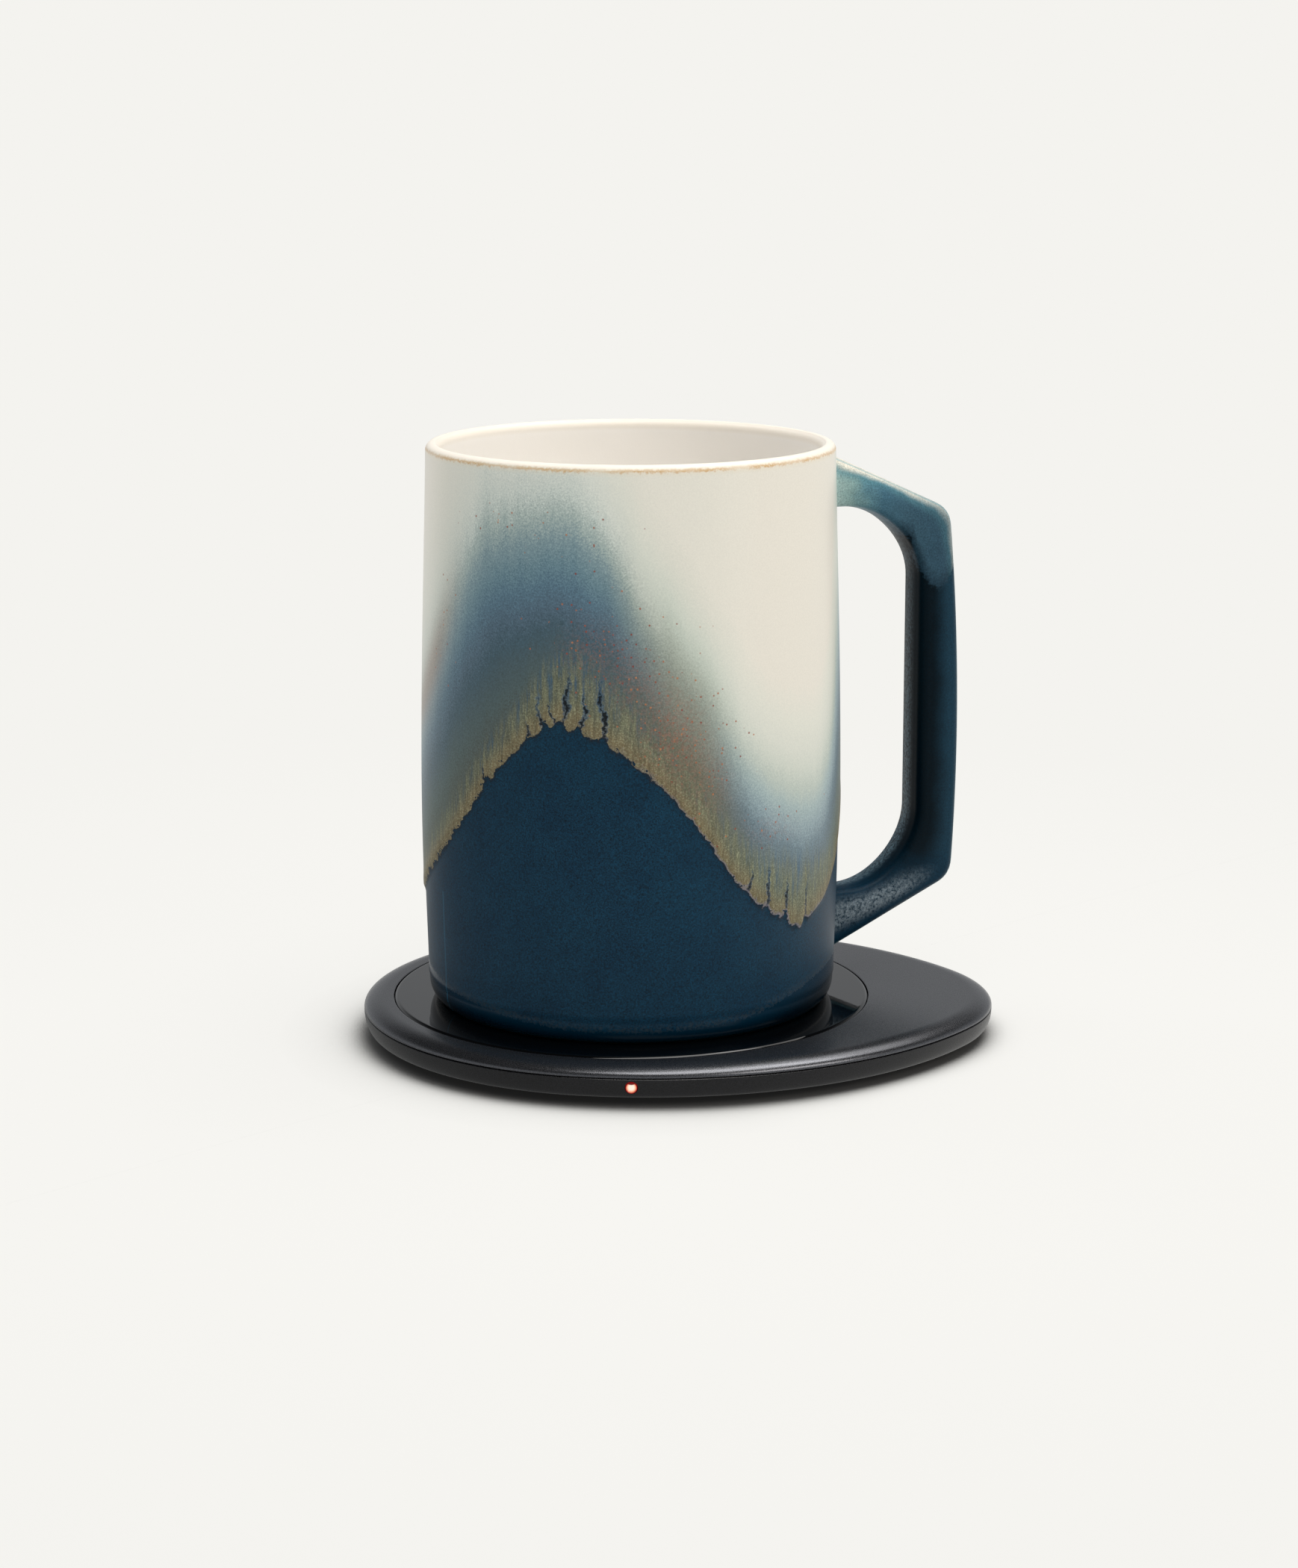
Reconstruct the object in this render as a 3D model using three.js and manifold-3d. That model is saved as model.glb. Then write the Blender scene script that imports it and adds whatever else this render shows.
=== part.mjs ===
// Self heating mug on its charging base, in millimetres, +Z up.
// The base is a flat egg with a round glass disc let into its wide end. A coil under the disc feeds a second
// coil in the foot of the stoneware mug, which drives a heating film bonded under the mug's floor.
// The origin is on the table under the mug's axis, and +X runs to the narrow end of the base.

import * as THREE from "three";
import { mergeVertices } from "three/addons/utils/BufferGeometryUtils.js";
import Module from "manifold-3d";

const wasm = await Module();
wasm.setup();

// Driving dimensions of the base, seen from above: four arcs that run into each other.
const wideEndRadius = 53.4; // round the mug's axis
const tipRadius = 35.1;
const tipLength = 18.8; // the tip reaches this much farther from the mug's axis than the wide end
const tipReach = wideEndRadius + tipLength;
const flankSlack = 11.6; // the flanks are this much flatter than the roundest arcs that meet both ends
const tipCentreX = tipReach - tipRadius;
const flankRadius = (wideEndRadius + tipRadius + tipCentreX) / 2 + flankSlack;

// Walls of the two shells and the joint between them.
const topWall = 1.2;
const innerRound = 1.2; // rounding inside the top shell's shoulder
const floorWall = 1.2;
const sideWall = 2.2;
const partingGap = 0.15;
const lipHeight = 0.5;
const lipClearance = 0.35;

// The base's heights, from the table up. The inductor is the tallest thing on the board and sets the ceiling.
const footDrop = 0.7; // the foot pad stands out below the underside
const underslopeRise = 1.05; // the underside climbs towards its edge
const shoulderHeight = 2.1;
const discProud = 0.2; // the glass stands above the flat top
const shoulderWidth = 4.2;
const undercut = 1.75;
const underslopeWidth = 7.2;
const boardLift = 1;
const boardThickness = 0.8;
const inductorHeight = 2.6;
const headroom = 0.4;

const undersideZ = footDrop;
const edgeZ = undersideZ + underslopeRise;
const floorZ = undersideZ + floorWall;
const boardZ = floorZ + boardLift;
const boardTopZ = boardZ + boardThickness;
const flatTopZ = boardTopZ + inductorHeight + headroom + topWall;
const partingZ = flatTopZ - shoulderHeight;
const discTopZ = flatTopZ + discProud;

// The mug, measured from its foot.
const mugHeight = 110.4;
const rimRadius = 40;
const bellyRadius = 41.35;
const bellyHeight = 46;
const lowerWallRadius = 40.75;
const lowerWallHeight = 9;
const footRoundHeight = 4.6;
const footRoundTopRadius = lowerWallRadius - 0.4;
const footInset = 3.25; // the foot stands in from the wall
const footRadius = lowerWallRadius - footInset;
const rimThickness = 3;
const wallThickness = 3.4;
const mugFloorHeight = 8;
const mugFloorRound = 7;
const handleTurn = THREE.MathUtils.degToRad(22); // the handle's direction, from +X towards +Y

const overrun = 1; // how far every cutting tool passes the face that it cuts

// Shared clearances.
const seatClearance = 0.3; // round a piece that drops into a seat
const boreClearance = 0.15; // round a pin, a screw or a plug shell

// The colours and finishes seen in the photograph.
function finish(color, roughness, metalness = 0) {
  return new THREE.MeshStandardMaterial({ color, roughness, metalness });
}
const darkGlaze = finish(0x1d3b50, 0.45);
const anodisedBlack = finish(0x2b2d30, 0.42, 0.6);
const mouldedBlack = finish(0x222326, 0.5);
const blackGlass = finish(0x050607, 0.05);
const clearAmber = finish(0xff9a5c, 0.2);
const greyRubber = finish(0x2a2a2b, 0.9);
const copper = finish(0xb87333, 0.35, 1);
const ferrite = finish(0x3a3a3d, 0.7);
const boardGreen = finish(0x1f5a3a, 0.6);
const chipBlack = finish(0x17181a, 0.6);
const ceramicTan = finish(0xb09a78, 0.6);
const steel = finish(0xb5b8bc, 0.3, 1);
const tape = finish(0x6b6b6b, 0.8);
const silver = finish(0xc9cbd0, 0.3, 1);
const insulation = finish(0xd8d2c4, 0.9);
const ledWhite = finish(0xf2e6c8, 0.4);

const base = new THREE.Group();
const mug = new THREE.Group();
mug.position.z = discTopZ;
mug.rotation.z = handleTurn;

function addPiece(group, name, geometry, material) {
  const mesh = new THREE.Mesh(geometry, material);
  mesh.name = name;
  group.add(mesh);
  return mesh;
}

// Joining and cutting.
function toSolid(geometry) {
  const bare = geometry.clone();
  bare.deleteAttribute("normal");
  bare.deleteAttribute("uv");
  const merged = mergeVertices(bare);
  return new wasm.Manifold(
    new wasm.Mesh({
      numProp: 3,
      vertProperties: merged.getAttribute("position").array,
      triVerts: new Uint32Array(merged.index.array),
    }),
  );
}

function toGeometry(solid) {
  const mesh = solid.getMesh();
  const geometry = new THREE.BufferGeometry();
  geometry.setAttribute("position", new THREE.BufferAttribute(mesh.vertProperties, mesh.numProp));
  geometry.setIndex(new THREE.BufferAttribute(mesh.triVerts, 1));
  geometry.computeVertexNormals();
  return geometry;
}

function cut(geometry, ...tools) {
  return toGeometry(tools.reduce((left, tool) => left.subtract(toSolid(tool)), toSolid(geometry)));
}

function join(geometry, ...others) {
  return toGeometry(others.reduce((whole, other) => whole.add(toSolid(other)), toSolid(geometry)));
}

// Round pieces. An upright cylinder stands on bottomZ at (x, y).
const roundSides = 24; // of a small round piece
const wideSides = 60; // of the disc, its seat and the coil tray

function upright(radius, bottomZ, topZ, x = 0, y = 0, sides = roundSides) {
  const geometry = new THREE.CylinderGeometry(radius, radius, topZ - bottomZ, sides);
  geometry.rotateX(Math.PI / 2);
  return geometry.translate(x, y, (bottomZ + topZ) / 2);
}

function turned(profile, sides = roundSides) {
  return new THREE.LatheGeometry(profile, sides).rotateX(Math.PI / 2);
}

function upRing(innerRadius, outerRadius, bottomZ, topZ, sides = roundSides) {
  const corners = [
    [innerRadius, bottomZ],
    [outerRadius, bottomZ],
    [outerRadius, topZ],
    [innerRadius, topZ],
    [innerRadius, bottomZ],
  ];
  return turned(corners.map(([r, z]) => new THREE.Vector2(r, z)), sides);
}

function block(width, depth, bottomZ, topZ, x, y) {
  return new THREE.BoxGeometry(width, depth, topZ - bottomZ).translate(x, y, (bottomZ + topZ) / 2);
}

// The egg outline, moved inwards by inset. Every arc keeps its centre, so the offset is exact.
const flankFromWide = flankRadius - wideEndRadius;
const flankFromTip = flankRadius - tipRadius;
const flankCentreX = (flankFromWide ** 2 - flankFromTip ** 2 + tipCentreX ** 2) / (2 * tipCentreX);
const flankCentreY = Math.sqrt(flankFromWide ** 2 - flankCentreX ** 2);
const wideJoinAngle = Math.atan2(flankCentreY, -flankCentreX);
const tipJoinAngle = Math.atan2(flankCentreY, tipCentreX - flankCentreX);
const tipSteps = 8;
const flankSteps = 8;
const wideSteps = 24;

function eggPoints(inset) {
  const points = [];
  function arc(x, y, radius, from, to, steps) {
    for (let i = 0; i < steps; i += 1) {
      const angle = from + ((to - from) * i) / steps;
      points.push(new THREE.Vector2(x + radius * Math.cos(angle), y + radius * Math.sin(angle)));
    }
  }
  const flank = flankRadius - inset;
  arc(tipCentreX, 0, tipRadius - inset, -tipJoinAngle, tipJoinAngle, tipSteps);
  arc(flankCentreX, -flankCentreY, flank, tipJoinAngle, wideJoinAngle, flankSteps);
  arc(0, 0, wideEndRadius - inset, wideJoinAngle, 2 * Math.PI - wideJoinAngle, wideSteps);
  arc(flankCentreX, flankCentreY, flank, -wideJoinAngle, -tipJoinAngle, flankSteps);
  return points;
}

// How far the outline, moved inwards by inset, lies in front of and behind the mug's axis.
function sideReach(inset) {
  if (flankCentreX < 0) return wideEndRadius - inset;
  return Math.sqrt((flankRadius - inset) ** 2 - flankCentreX ** 2) - flankCentreY;
}

// A solid whose section is the profile, a list of [inset, z] from the middle of its lower face
// round the edge to the middle of its upper face.
function eggSolid(profile) {
  const positions = [0, 0, profile[0][1]];
  const indices = [];
  const rings = profile.map(([inset, z]) => {
    const first = positions.length / 3;
    eggPoints(inset).forEach((point) => positions.push(point.x, point.y, z));
    return first;
  });
  const count = eggPoints(0).length;
  const top = positions.length / 3;
  positions.push(0, 0, profile[profile.length - 1][1]);
  for (let i = 0; i < count; i += 1) {
    const next = (i + 1) % count;
    indices.push(0, rings[0] + next, rings[0] + i);
    for (let k = 0; k + 1 < rings.length; k += 1) {
      indices.push(rings[k] + i, rings[k] + next, rings[k + 1] + next);
      indices.push(rings[k] + i, rings[k + 1] + next, rings[k + 1] + i);
    }
    indices.push(top, rings[rings.length - 1] + i, rings[rings.length - 1] + next);
  }
  const geometry = new THREE.BufferGeometry();
  geometry.setAttribute("position", new THREE.Float32BufferAttribute(positions, 3));
  geometry.setIndex(indices);
  return geometry;
}

// A quarter of an ellipse as [inset, z] pairs, from its upright end to its level end.
const edgeSteps = 4;

function quarterEdge(uprightInset, uprightZ, levelInset, levelZ) {
  return Array.from({ length: edgeSteps + 1 }, (_, i) => {
    const angle = (i / edgeSteps) * (Math.PI / 2);
    return [
      uprightInset + (levelInset - uprightInset) * (1 - Math.cos(angle)),
      uprightZ + (levelZ - uprightZ) * Math.sin(angle),
    ];
  });
}

// The glass disc, the tape under it and the seat that holds them.
const discMargin = 6.1; // from the disc to the edge of the wide end
const discRadius = wideEndRadius - discMargin;
const discThickness = 1.1;
const discChamfer = 0.35;
const discClearance = 0.25;
const tapeThickness = 0.2;
const tapeMargin = 0.8; // from the tape to the edges of the ledge
const ledgeThickness = 0.9;
const ledgeWidth = 13.8;
const coilWellRadius = discRadius - ledgeWidth; // opening in the seat, over the coil
const trayClearance = 1.1; // from the tray to the board round it
const wellClearance = 3; // from the tray to the edge of its opening
const trayRadius = coilWellRadius - wellClearance;
const seatWall = 1.2;

const discUnderZ = discTopZ - discThickness;
const seatZ = discUnderZ - tapeThickness;
const seatUnderZ = seatZ - ledgeThickness;
const seatRadius = discRadius + discClearance;

addPiece(
  base,
  "warming_disc",
  turned(
    [
      new THREE.Vector2(0, discUnderZ),
      new THREE.Vector2(discRadius, discUnderZ),
      new THREE.Vector2(discRadius, discTopZ - discChamfer),
      new THREE.Vector2(discRadius - discChamfer, discTopZ),
      new THREE.Vector2(0, discTopZ),
    ],
    wideSides,
  ),
  blackGlass,
);
addPiece(
  base,
  "disc_tape",
  upRing(coilWellRadius + tapeMargin, discRadius - tapeMargin, seatZ, discUnderZ, wideSides),
  tape,
);

// Screws that draw the shells together. The foot pad hides them, four round the disc and one in the tip.
const screwShankRadius = 1;
const screwLength = 3.6;
const screwHeadRadius = 1.8;
const screwHeadHeight = 0.9;
const screwSocketRadius = 0.7;
const screwSocketDepth = 0.5;
const bossRadius = 2.3;
const lowerBossRadius = 3.3;
const screwCircleRadius = (coilWellRadius + seatRadius) / 2; // along the middle of the seat's ledge
const screwAngles = [50, 130, 230, 310].map((angle) => THREE.MathUtils.degToRad(angle));
const tipScrewFromEnd = 17;
const tipScrewX = tipReach - tipScrewFromEnd;
const screwPlaces = [
  ...screwAngles.map((angle) => [screwCircleRadius * Math.cos(angle), screwCircleRadius * Math.sin(angle)]),
  [tipScrewX, 0],
];

// The foot pad fills a shallow recess in the underside and covers the screws.
const padMargin = 1.55; // from the pad to the edge of the flat underside
const padInset = undercut + underslopeWidth + padMargin;
const padRecess = 0.5;
const padRound = 0.3;
const recessCeilingZ = undersideZ + padRecess;
addPiece(
  base,
  "foot_pad",
  eggSolid([
    [padInset + padRound, 0],
    [padInset, padRound],
    [padInset, recessCeilingZ],
  ]),
  greyRubber,
);

// The charging socket, a USB-C receptacle, in the middle of the rear edge.
const socketWidth = 8.94;
const socketHeight = 3.16;
const socketLength = 7.35;
const socketSheet = 0.3;
const socketSetBack = 0.6; // its mouth lies inside the shell's face
const tongueWidth = 6.7;
const tongueThickness = 0.7;
const tongueSetBack = 1.2;
const socketBackDepth = 1.6;
const socketZ = boardTopZ; // sunk by half its height in a notch of the board
const socketMouthY = sideReach(socketSetBack);
const socketBackY = socketMouthY - socketLength;

// A flat-sided oval prism along Y, its section centred on X = 0.
function ovalBar(width, height, fromY, toY, z) {
  const round = height / 2;
  const straight = width / 2 - round;
  const outline = new THREE.Shape();
  outline.absarc(straight, 0, round, -Math.PI / 2, Math.PI / 2, false);
  outline.absarc(-straight, 0, round, Math.PI / 2, (3 * Math.PI) / 2, false);
  const depth = toY - fromY;
  const bar = new THREE.ExtrudeGeometry(outline, { depth, bevelEnabled: false, curveSegments: 6 });
  return bar.rotateX(Math.PI / 2).translate(0, toY, z);
}

// The indicator's hole in the front edge.
const pipeRadius = 1.1;
const pipeDish = 0.5; // its outer end is hollowed
const pipeSetBack = 0.2;
const ledHeight = 0.6;
const ledWidth = 3;
const ledDepth = 1;
const ledZ = boardTopZ + ledHeight / 2;

// A cylinder along Y on X = 0.
function frontBar(radius, fromY, toY, z) {
  const bar = new THREE.CylinderGeometry(radius, radius, toY - fromY, roundSides / 2);
  return bar.translate(0, (fromY + toY) / 2, z);
}

// The top shell: a shoulder round a flat top, with the disc's seat sunk into it and five screw bosses.
function topShell() {
  const innerInset = topWall + innerRound;
  const hollow = eggSolid([
    [topWall, partingZ - overrun],
    ...quarterEdge(topWall, partingZ, innerInset, flatTopZ - topWall),
  ]);
  const outer = eggSolid([[0, partingZ], ...quarterEdge(0, partingZ, shoulderWidth, flatTopZ).slice(1)]);
  const seatPot = upright(seatRadius + seatWall, seatUnderZ, flatTopZ - topWall / 2, 0, 0, wideSides);
  const bosses = screwPlaces.map(([x, y]) => upright(bossRadius, boardZ, flatTopZ - topWall / 2, x, y));
  const whole = join(cut(outer, hollow), seatPot, ...bosses);
  return cut(
    whole,
    upright(seatRadius, seatZ, discTopZ + overrun, 0, 0, wideSides),
    upright(coilWellRadius, seatUnderZ - overrun, discTopZ, 0, 0, wideSides),
    ...screwPlaces.map(([x, y]) =>
      upright(screwShankRadius + boreClearance, boardZ - overrun, screwTipZ + boreClearance, x, y),
    ),
  );
}

// The coil tray's height under the disc, which the bottom shell's posts carry.
const coilThickness = 1;
const coilTopGap = 0.1; // between the coil and the glass
const ferriteThickness = 0.8;
const trayFloor = 0.8;
const trayWall = 1.2;
const postRadius = 2;
const postInset = 6.5;
const postCircleRadius = trayRadius - postInset;
const postCount = 4;
const coilZ = discUnderZ - coilTopGap - coilThickness;
const ferriteZ = coilZ - ferriteThickness;
const trayZ = ferriteZ - trayFloor;

const screwHeadZ = recessCeilingZ + padRound;
const screwTipZ = screwHeadZ + screwHeadHeight + screwLength;

// The bottom shell: a dish with an undercut edge, a lip inside the top shell, bosses and the tray's posts.
function bottomShell() {
  const rimZ = partingZ - partingGap;
  const lipInset = topWall + lipClearance;
  const flatInset = undercut + underslopeWidth;
  const outer = eggSolid([
    [flatInset, undersideZ],
    ...quarterEdge(0, rimZ, undercut, edgeZ).reverse(),
    [lipInset, rimZ],
    [lipInset, partingZ + lipHeight],
  ]);
  const hollow = eggSolid([
    [flatInset, floorZ],
    [undercut + floorWall, edgeZ + floorWall],
    [sideWall, rimZ],
    [sideWall, partingZ + lipHeight + overrun],
  ]);
  const posts = Array.from({ length: postCount }, (_, i) => {
    const angle = (2 * Math.PI * i) / postCount;
    const x = postCircleRadius * Math.cos(angle);
    const y = postCircleRadius * Math.sin(angle);
    return upright(postRadius, floorZ - floorWall / 2, trayZ, x, y);
  });
  const bosses = screwPlaces.map(([x, y]) => upright(lowerBossRadius, floorZ - floorWall / 2, boardZ, x, y));
  const whole = join(cut(outer, hollow), ...posts, ...bosses);
  const padSeat = eggSolid([
    [padInset - seatClearance, undersideZ - overrun],
    [padInset - seatClearance, recessCeilingZ],
  ]);
  const headSeats = screwPlaces.map(([x, y]) =>
    upright(screwHeadRadius + boreClearance, undersideZ, screwHeadZ + screwHeadHeight, x, y),
  );
  const shankHoles = screwPlaces.map(([x, y]) =>
    upright(screwShankRadius + boreClearance, undersideZ, boardZ + overrun, x, y),
  );
  const socketHole = ovalBar(
    socketWidth + 2 * boreClearance,
    socketHeight + 2 * boreClearance,
    socketBackY - seatClearance,
    sideReach(0) + overrun,
    socketZ,
  );
  const pipeHole = frontBar(pipeRadius + boreClearance, -sideReach(0) - overrun, -boardReach, ledZ);
  return cut(whole, padSeat, ...headSeats, ...shankHoles, socketHole, pipeHole);
}

// The main board: an egg-shaped ring round the coil tray.
const boardInset = 4.4;
const boardReach = sideReach(boardInset); // its edge in front and behind
const trayHoleRadius = trayRadius + trayClearance;

function mainBoard() {
  const sheet = eggSolid([
    [boardInset, boardZ],
    [boardInset, boardTopZ],
  ]);
  const bossHoles = screwPlaces.map(([x, y]) =>
    upright(bossRadius + seatClearance, boardZ - overrun, boardTopZ + overrun, x, y),
  );
  const trayHole = upright(trayHoleRadius, boardZ - overrun, boardTopZ + overrun, 0, 0, wideSides);
  const notchBackY = socketBackY - seatClearance;
  const notch = block(
    socketWidth + 2 * seatClearance,
    boardReach + overrun - notchBackY,
    boardZ - overrun,
    boardTopZ + overrun,
    0,
    (boardReach + overrun + notchBackY) / 2,
  );
  return cut(sheet, trayHole, notch, ...bossHoles);
}

addPiece(base, "top_shell", topShell(), anodisedBlack);
addPiece(base, "bottom_shell", bottomShell(), mouldedBlack);
addPiece(base, "main_board", mainBoard(), boardGreen);

function screw() {
  return turned(
    [
      new THREE.Vector2(0, screwHeadZ + screwSocketDepth),
      new THREE.Vector2(screwSocketRadius, screwHeadZ + screwSocketDepth),
      new THREE.Vector2(screwSocketRadius, screwHeadZ),
      new THREE.Vector2(screwHeadRadius, screwHeadZ),
      new THREE.Vector2(screwHeadRadius, screwHeadZ + screwHeadHeight),
      new THREE.Vector2(screwShankRadius, screwHeadZ + screwHeadHeight),
      new THREE.Vector2(screwShankRadius, screwTipZ - screwShankRadius),
      new THREE.Vector2(0, screwTipZ),
    ],
    roundSides / 2,
  );
}
screwPlaces.forEach(([x, y], i) => {
  addPiece(base, `screw_${i + 1}`, screw(), steel).position.set(x, y, 0);
});

// The coil tray and what it holds: a ferrite disc, the transmitting coil and the temperature sensor.
function coilTray() {
  const tray = upright(trayRadius, trayZ, discUnderZ - coilTopGap, 0, 0, wideSides);
  return cut(tray, upright(trayRadius - trayWall, ferriteZ, discUnderZ, 0, 0, wideSides));
}
const ferriteMargin = 1.8;
const ferriteRadius = trayRadius - trayWall - ferriteMargin;
const sensorRadius = 2;
addPiece(base, "coil_tray", coilTray(), mouldedBlack);
addPiece(base, "ferrite_disc", upright(ferriteRadius, ferriteZ, coilZ), ferrite);
addPiece(base, "temperature_sensor", upright(sensorRadius, coilZ, discUnderZ), ceramicTan);

// A flat winding: one bar of rectangular section that spirals outwards, its ends running on straight.
// It has as many turns as fit within the radius.
const winding = { innerRadius: 10, barWidth: 1.5, pitch: 2.1, margin: 0.9 };
const stepsPerTurn = 18;

function flatWinding(withinRadius, bottomZ, topZ) {
  const { innerRadius, barWidth, pitch, margin } = winding;
  const turns = Math.floor((withinRadius - margin - barWidth - innerRadius) / pitch);
  const steps = turns * stepsPerTurn;
  const places = [];
  for (let i = 0; i <= steps; i += 1) {
    const angle = (2 * Math.PI * i) / stepsPerTurn;
    places.push({ angle, radius: innerRadius + barWidth / 2 + (pitch * i) / stepsPerTurn });
  }
  const sections = places.map(({ angle, radius }) => {
    const along = new THREE.Vector2(Math.cos(angle), Math.sin(angle));
    return { centre: along.clone().multiplyScalar(radius), across: along };
  });
  function runOn(end, before) {
    const direction = end.centre.clone().sub(before.centre).normalize();
    const across = new THREE.Vector2(direction.y, -direction.x);
    if (across.dot(end.across) < 0) across.negate();
    return { centre: end.centre.clone().addScaledVector(direction, barWidth), across };
  }
  sections.unshift(runOn(sections[0], sections[1]));
  sections.push(runOn(sections[sections.length - 1], sections[sections.length - 2]));
  const positions = [];
  sections.forEach(({ centre, across }) => {
    const inner = centre.clone().addScaledVector(across, -barWidth / 2);
    const outer = centre.clone().addScaledVector(across, barWidth / 2);
    positions.push(inner.x, inner.y, bottomZ, outer.x, outer.y, bottomZ);
    positions.push(outer.x, outer.y, topZ, inner.x, inner.y, topZ);
  });
  const indices = [0, 1, 2, 0, 2, 3];
  for (let i = 0; i + 1 < sections.length; i += 1) {
    for (let k = 0; k < 4; k += 1) {
      const here = 4 * i + k;
      const beside = 4 * i + ((k + 1) % 4);
      indices.push(here, here + 4, beside, beside, here + 4, beside + 4);
    }
  }
  const last = 4 * (sections.length - 1);
  indices.push(last, last + 2, last + 1, last, last + 3, last + 2);
  const geometry = new THREE.BufferGeometry();
  geometry.setAttribute("position", new THREE.Float32BufferAttribute(positions, 3));
  geometry.setIndex(indices);
  const least = Math.min(
    ...places.slice(stepsPerTurn).map(({ radius }, i) => radius - places[i].radius - barWidth),
  );
  console.log(`winding of ${turns} turns, least gap between turns ${least.toFixed(2)} mm`);
  return geometry;
}

addPiece(base, "transmitting_coil", flatWinding(trayRadius - trayWall, coilZ, coilZ + coilThickness), copper);

// Square parts on the board. The inductor and the driver stand on either side of the tip's screw, and the
// controller on the ring behind the tray.
const partGap = 1.5; // between a part and its neighbour
const inductorSide = 6.6;
const driverSide = 5;
const controllerSide = 4;
const chipHeight = 0.9;
const controllerAngle = THREE.MathUtils.degToRad(108);
const controllerRadius = (trayHoleRadius + boardReach) / 2;

function squarePart(name, side, height, x, y) {
  addPiece(base, name, block(side, side, boardTopZ, boardTopZ + height, x, y), chipBlack);
}
const besideBoss = bossRadius + partGap;
squarePart("power_inductor", inductorSide, inductorHeight, tipScrewX, besideBoss + inductorSide / 2);
squarePart("driver_chip", driverSide, chipHeight, tipScrewX, -besideBoss - driverSide / 2);
squarePart(
  "controller_chip",
  controllerSide,
  chipHeight,
  controllerRadius * Math.cos(controllerAngle),
  controllerRadius * Math.sin(controllerAngle),
);

// The capacitors that tune the coil stand in a row beside the tray.
const capacitorCount = 4;
const capacitorLength = 4.5;
const capacitorWidth = 3.2;
const capacitorHeight = 1.8;
const capacitorPitch = capacitorWidth + partGap;
const capacitorX = trayHoleRadius + partGap / 2 + capacitorLength / 2;
for (let i = 0; i < capacitorCount; i += 1) {
  const y = (i - (capacitorCount - 1) / 2) * capacitorPitch;
  const body = block(capacitorLength, capacitorWidth, boardTopZ, boardTopZ + capacitorHeight, capacitorX, y);
  addPiece(base, `resonance_capacitor_${i + 1}`, body, ceramicTan);
}

// The indicator: a lamp on the board's front edge, and the clear pipe that carries its light to the outside.
addPiece(
  base,
  "status_lamp",
  block(ledWidth, ledDepth, boardTopZ, boardTopZ + ledHeight, 0, -boardReach + ledDepth / 2),
  ledWhite,
);

function lightPipe() {
  const outerY = sideReach(pipeSetBack);
  const profile = [
    new THREE.Vector2(0, boardReach),
    new THREE.Vector2(pipeRadius, boardReach),
    new THREE.Vector2(pipeRadius, outerY),
    new THREE.Vector2(0, outerY - pipeDish),
  ];
  return new THREE.LatheGeometry(profile, roundSides / 2).rotateX(Math.PI).translate(0, 0, ledZ);
}
addPiece(base, "light_pipe", lightPipe(), clearAmber);

// The socket: a drawn steel shell with a moulded back and tongue inside it.
function socketShell() {
  return cut(
    ovalBar(socketWidth, socketHeight, socketBackY, socketMouthY, socketZ),
    ovalBar(
      socketWidth - 2 * socketSheet,
      socketHeight - 2 * socketSheet,
      socketBackY - overrun,
      socketMouthY + overrun,
      socketZ,
    ),
  );
}

function socketCore() {
  const play = boreClearance / 2;
  const back = ovalBar(
    socketWidth - 2 * socketSheet - 2 * play,
    socketHeight - 2 * socketSheet - 2 * play,
    socketBackY,
    socketBackY + socketBackDepth,
    socketZ,
  );
  const tongueFromY = socketBackY + socketBackDepth / 2;
  const tongueToY = socketMouthY - tongueSetBack;
  const tongue = block(
    tongueWidth,
    tongueToY - tongueFromY,
    socketZ - tongueThickness / 2,
    socketZ + tongueThickness / 2,
    0,
    (tongueFromY + tongueToY) / 2,
  );
  return join(back, tongue);
}
addPiece(base, "socket_shell", socketShell(), steel);
addPiece(base, "socket_core", socketCore(), chipBlack);

// The mug's body, thrown round its own axis with its foot at zero height.
const footRingWidth = 4.3;
const recessRadius = footRadius - footRingWidth; // the hollow under the floor that holds the heating parts
const recessHeight = 4;
const mugSides = 48;
const wallSteps = 6;
const roundSteps = 4;

// Points of a quarter ellipse round (x, y), from one angle to another.
function ellipseArc(x, y, radiusX, radiusY, fromAngle, toAngle) {
  const clockwise = toAngle < fromAngle;
  return new THREE.EllipseCurve(x, y, radiusX, radiusY, fromAngle, toAngle, clockwise).getPoints(roundSteps);
}

function outerWall(grow = 0) {
  const wallTop = mugHeight - rimThickness / 2;
  const line = new THREE.SplineCurve([
    new THREE.Vector2(footRoundTopRadius + grow, footRoundHeight),
    new THREE.Vector2(lowerWallRadius + grow, lowerWallHeight),
    new THREE.Vector2(bellyRadius + grow, bellyHeight),
    new THREE.Vector2(rimRadius + grow, wallTop),
  ]);
  return line.getPoints(wallSteps);
}

function innerWall() {
  const wallTop = mugHeight - rimThickness / 2;
  const line = new THREE.SplineCurve([
    new THREE.Vector2(rimRadius - rimThickness, wallTop),
    new THREE.Vector2(bellyRadius - wallThickness, bellyHeight),
    new THREE.Vector2(lowerWallRadius - wallThickness, mugFloorHeight + mugFloorRound),
  ]);
  return line.getPoints(wallSteps);
}

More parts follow.
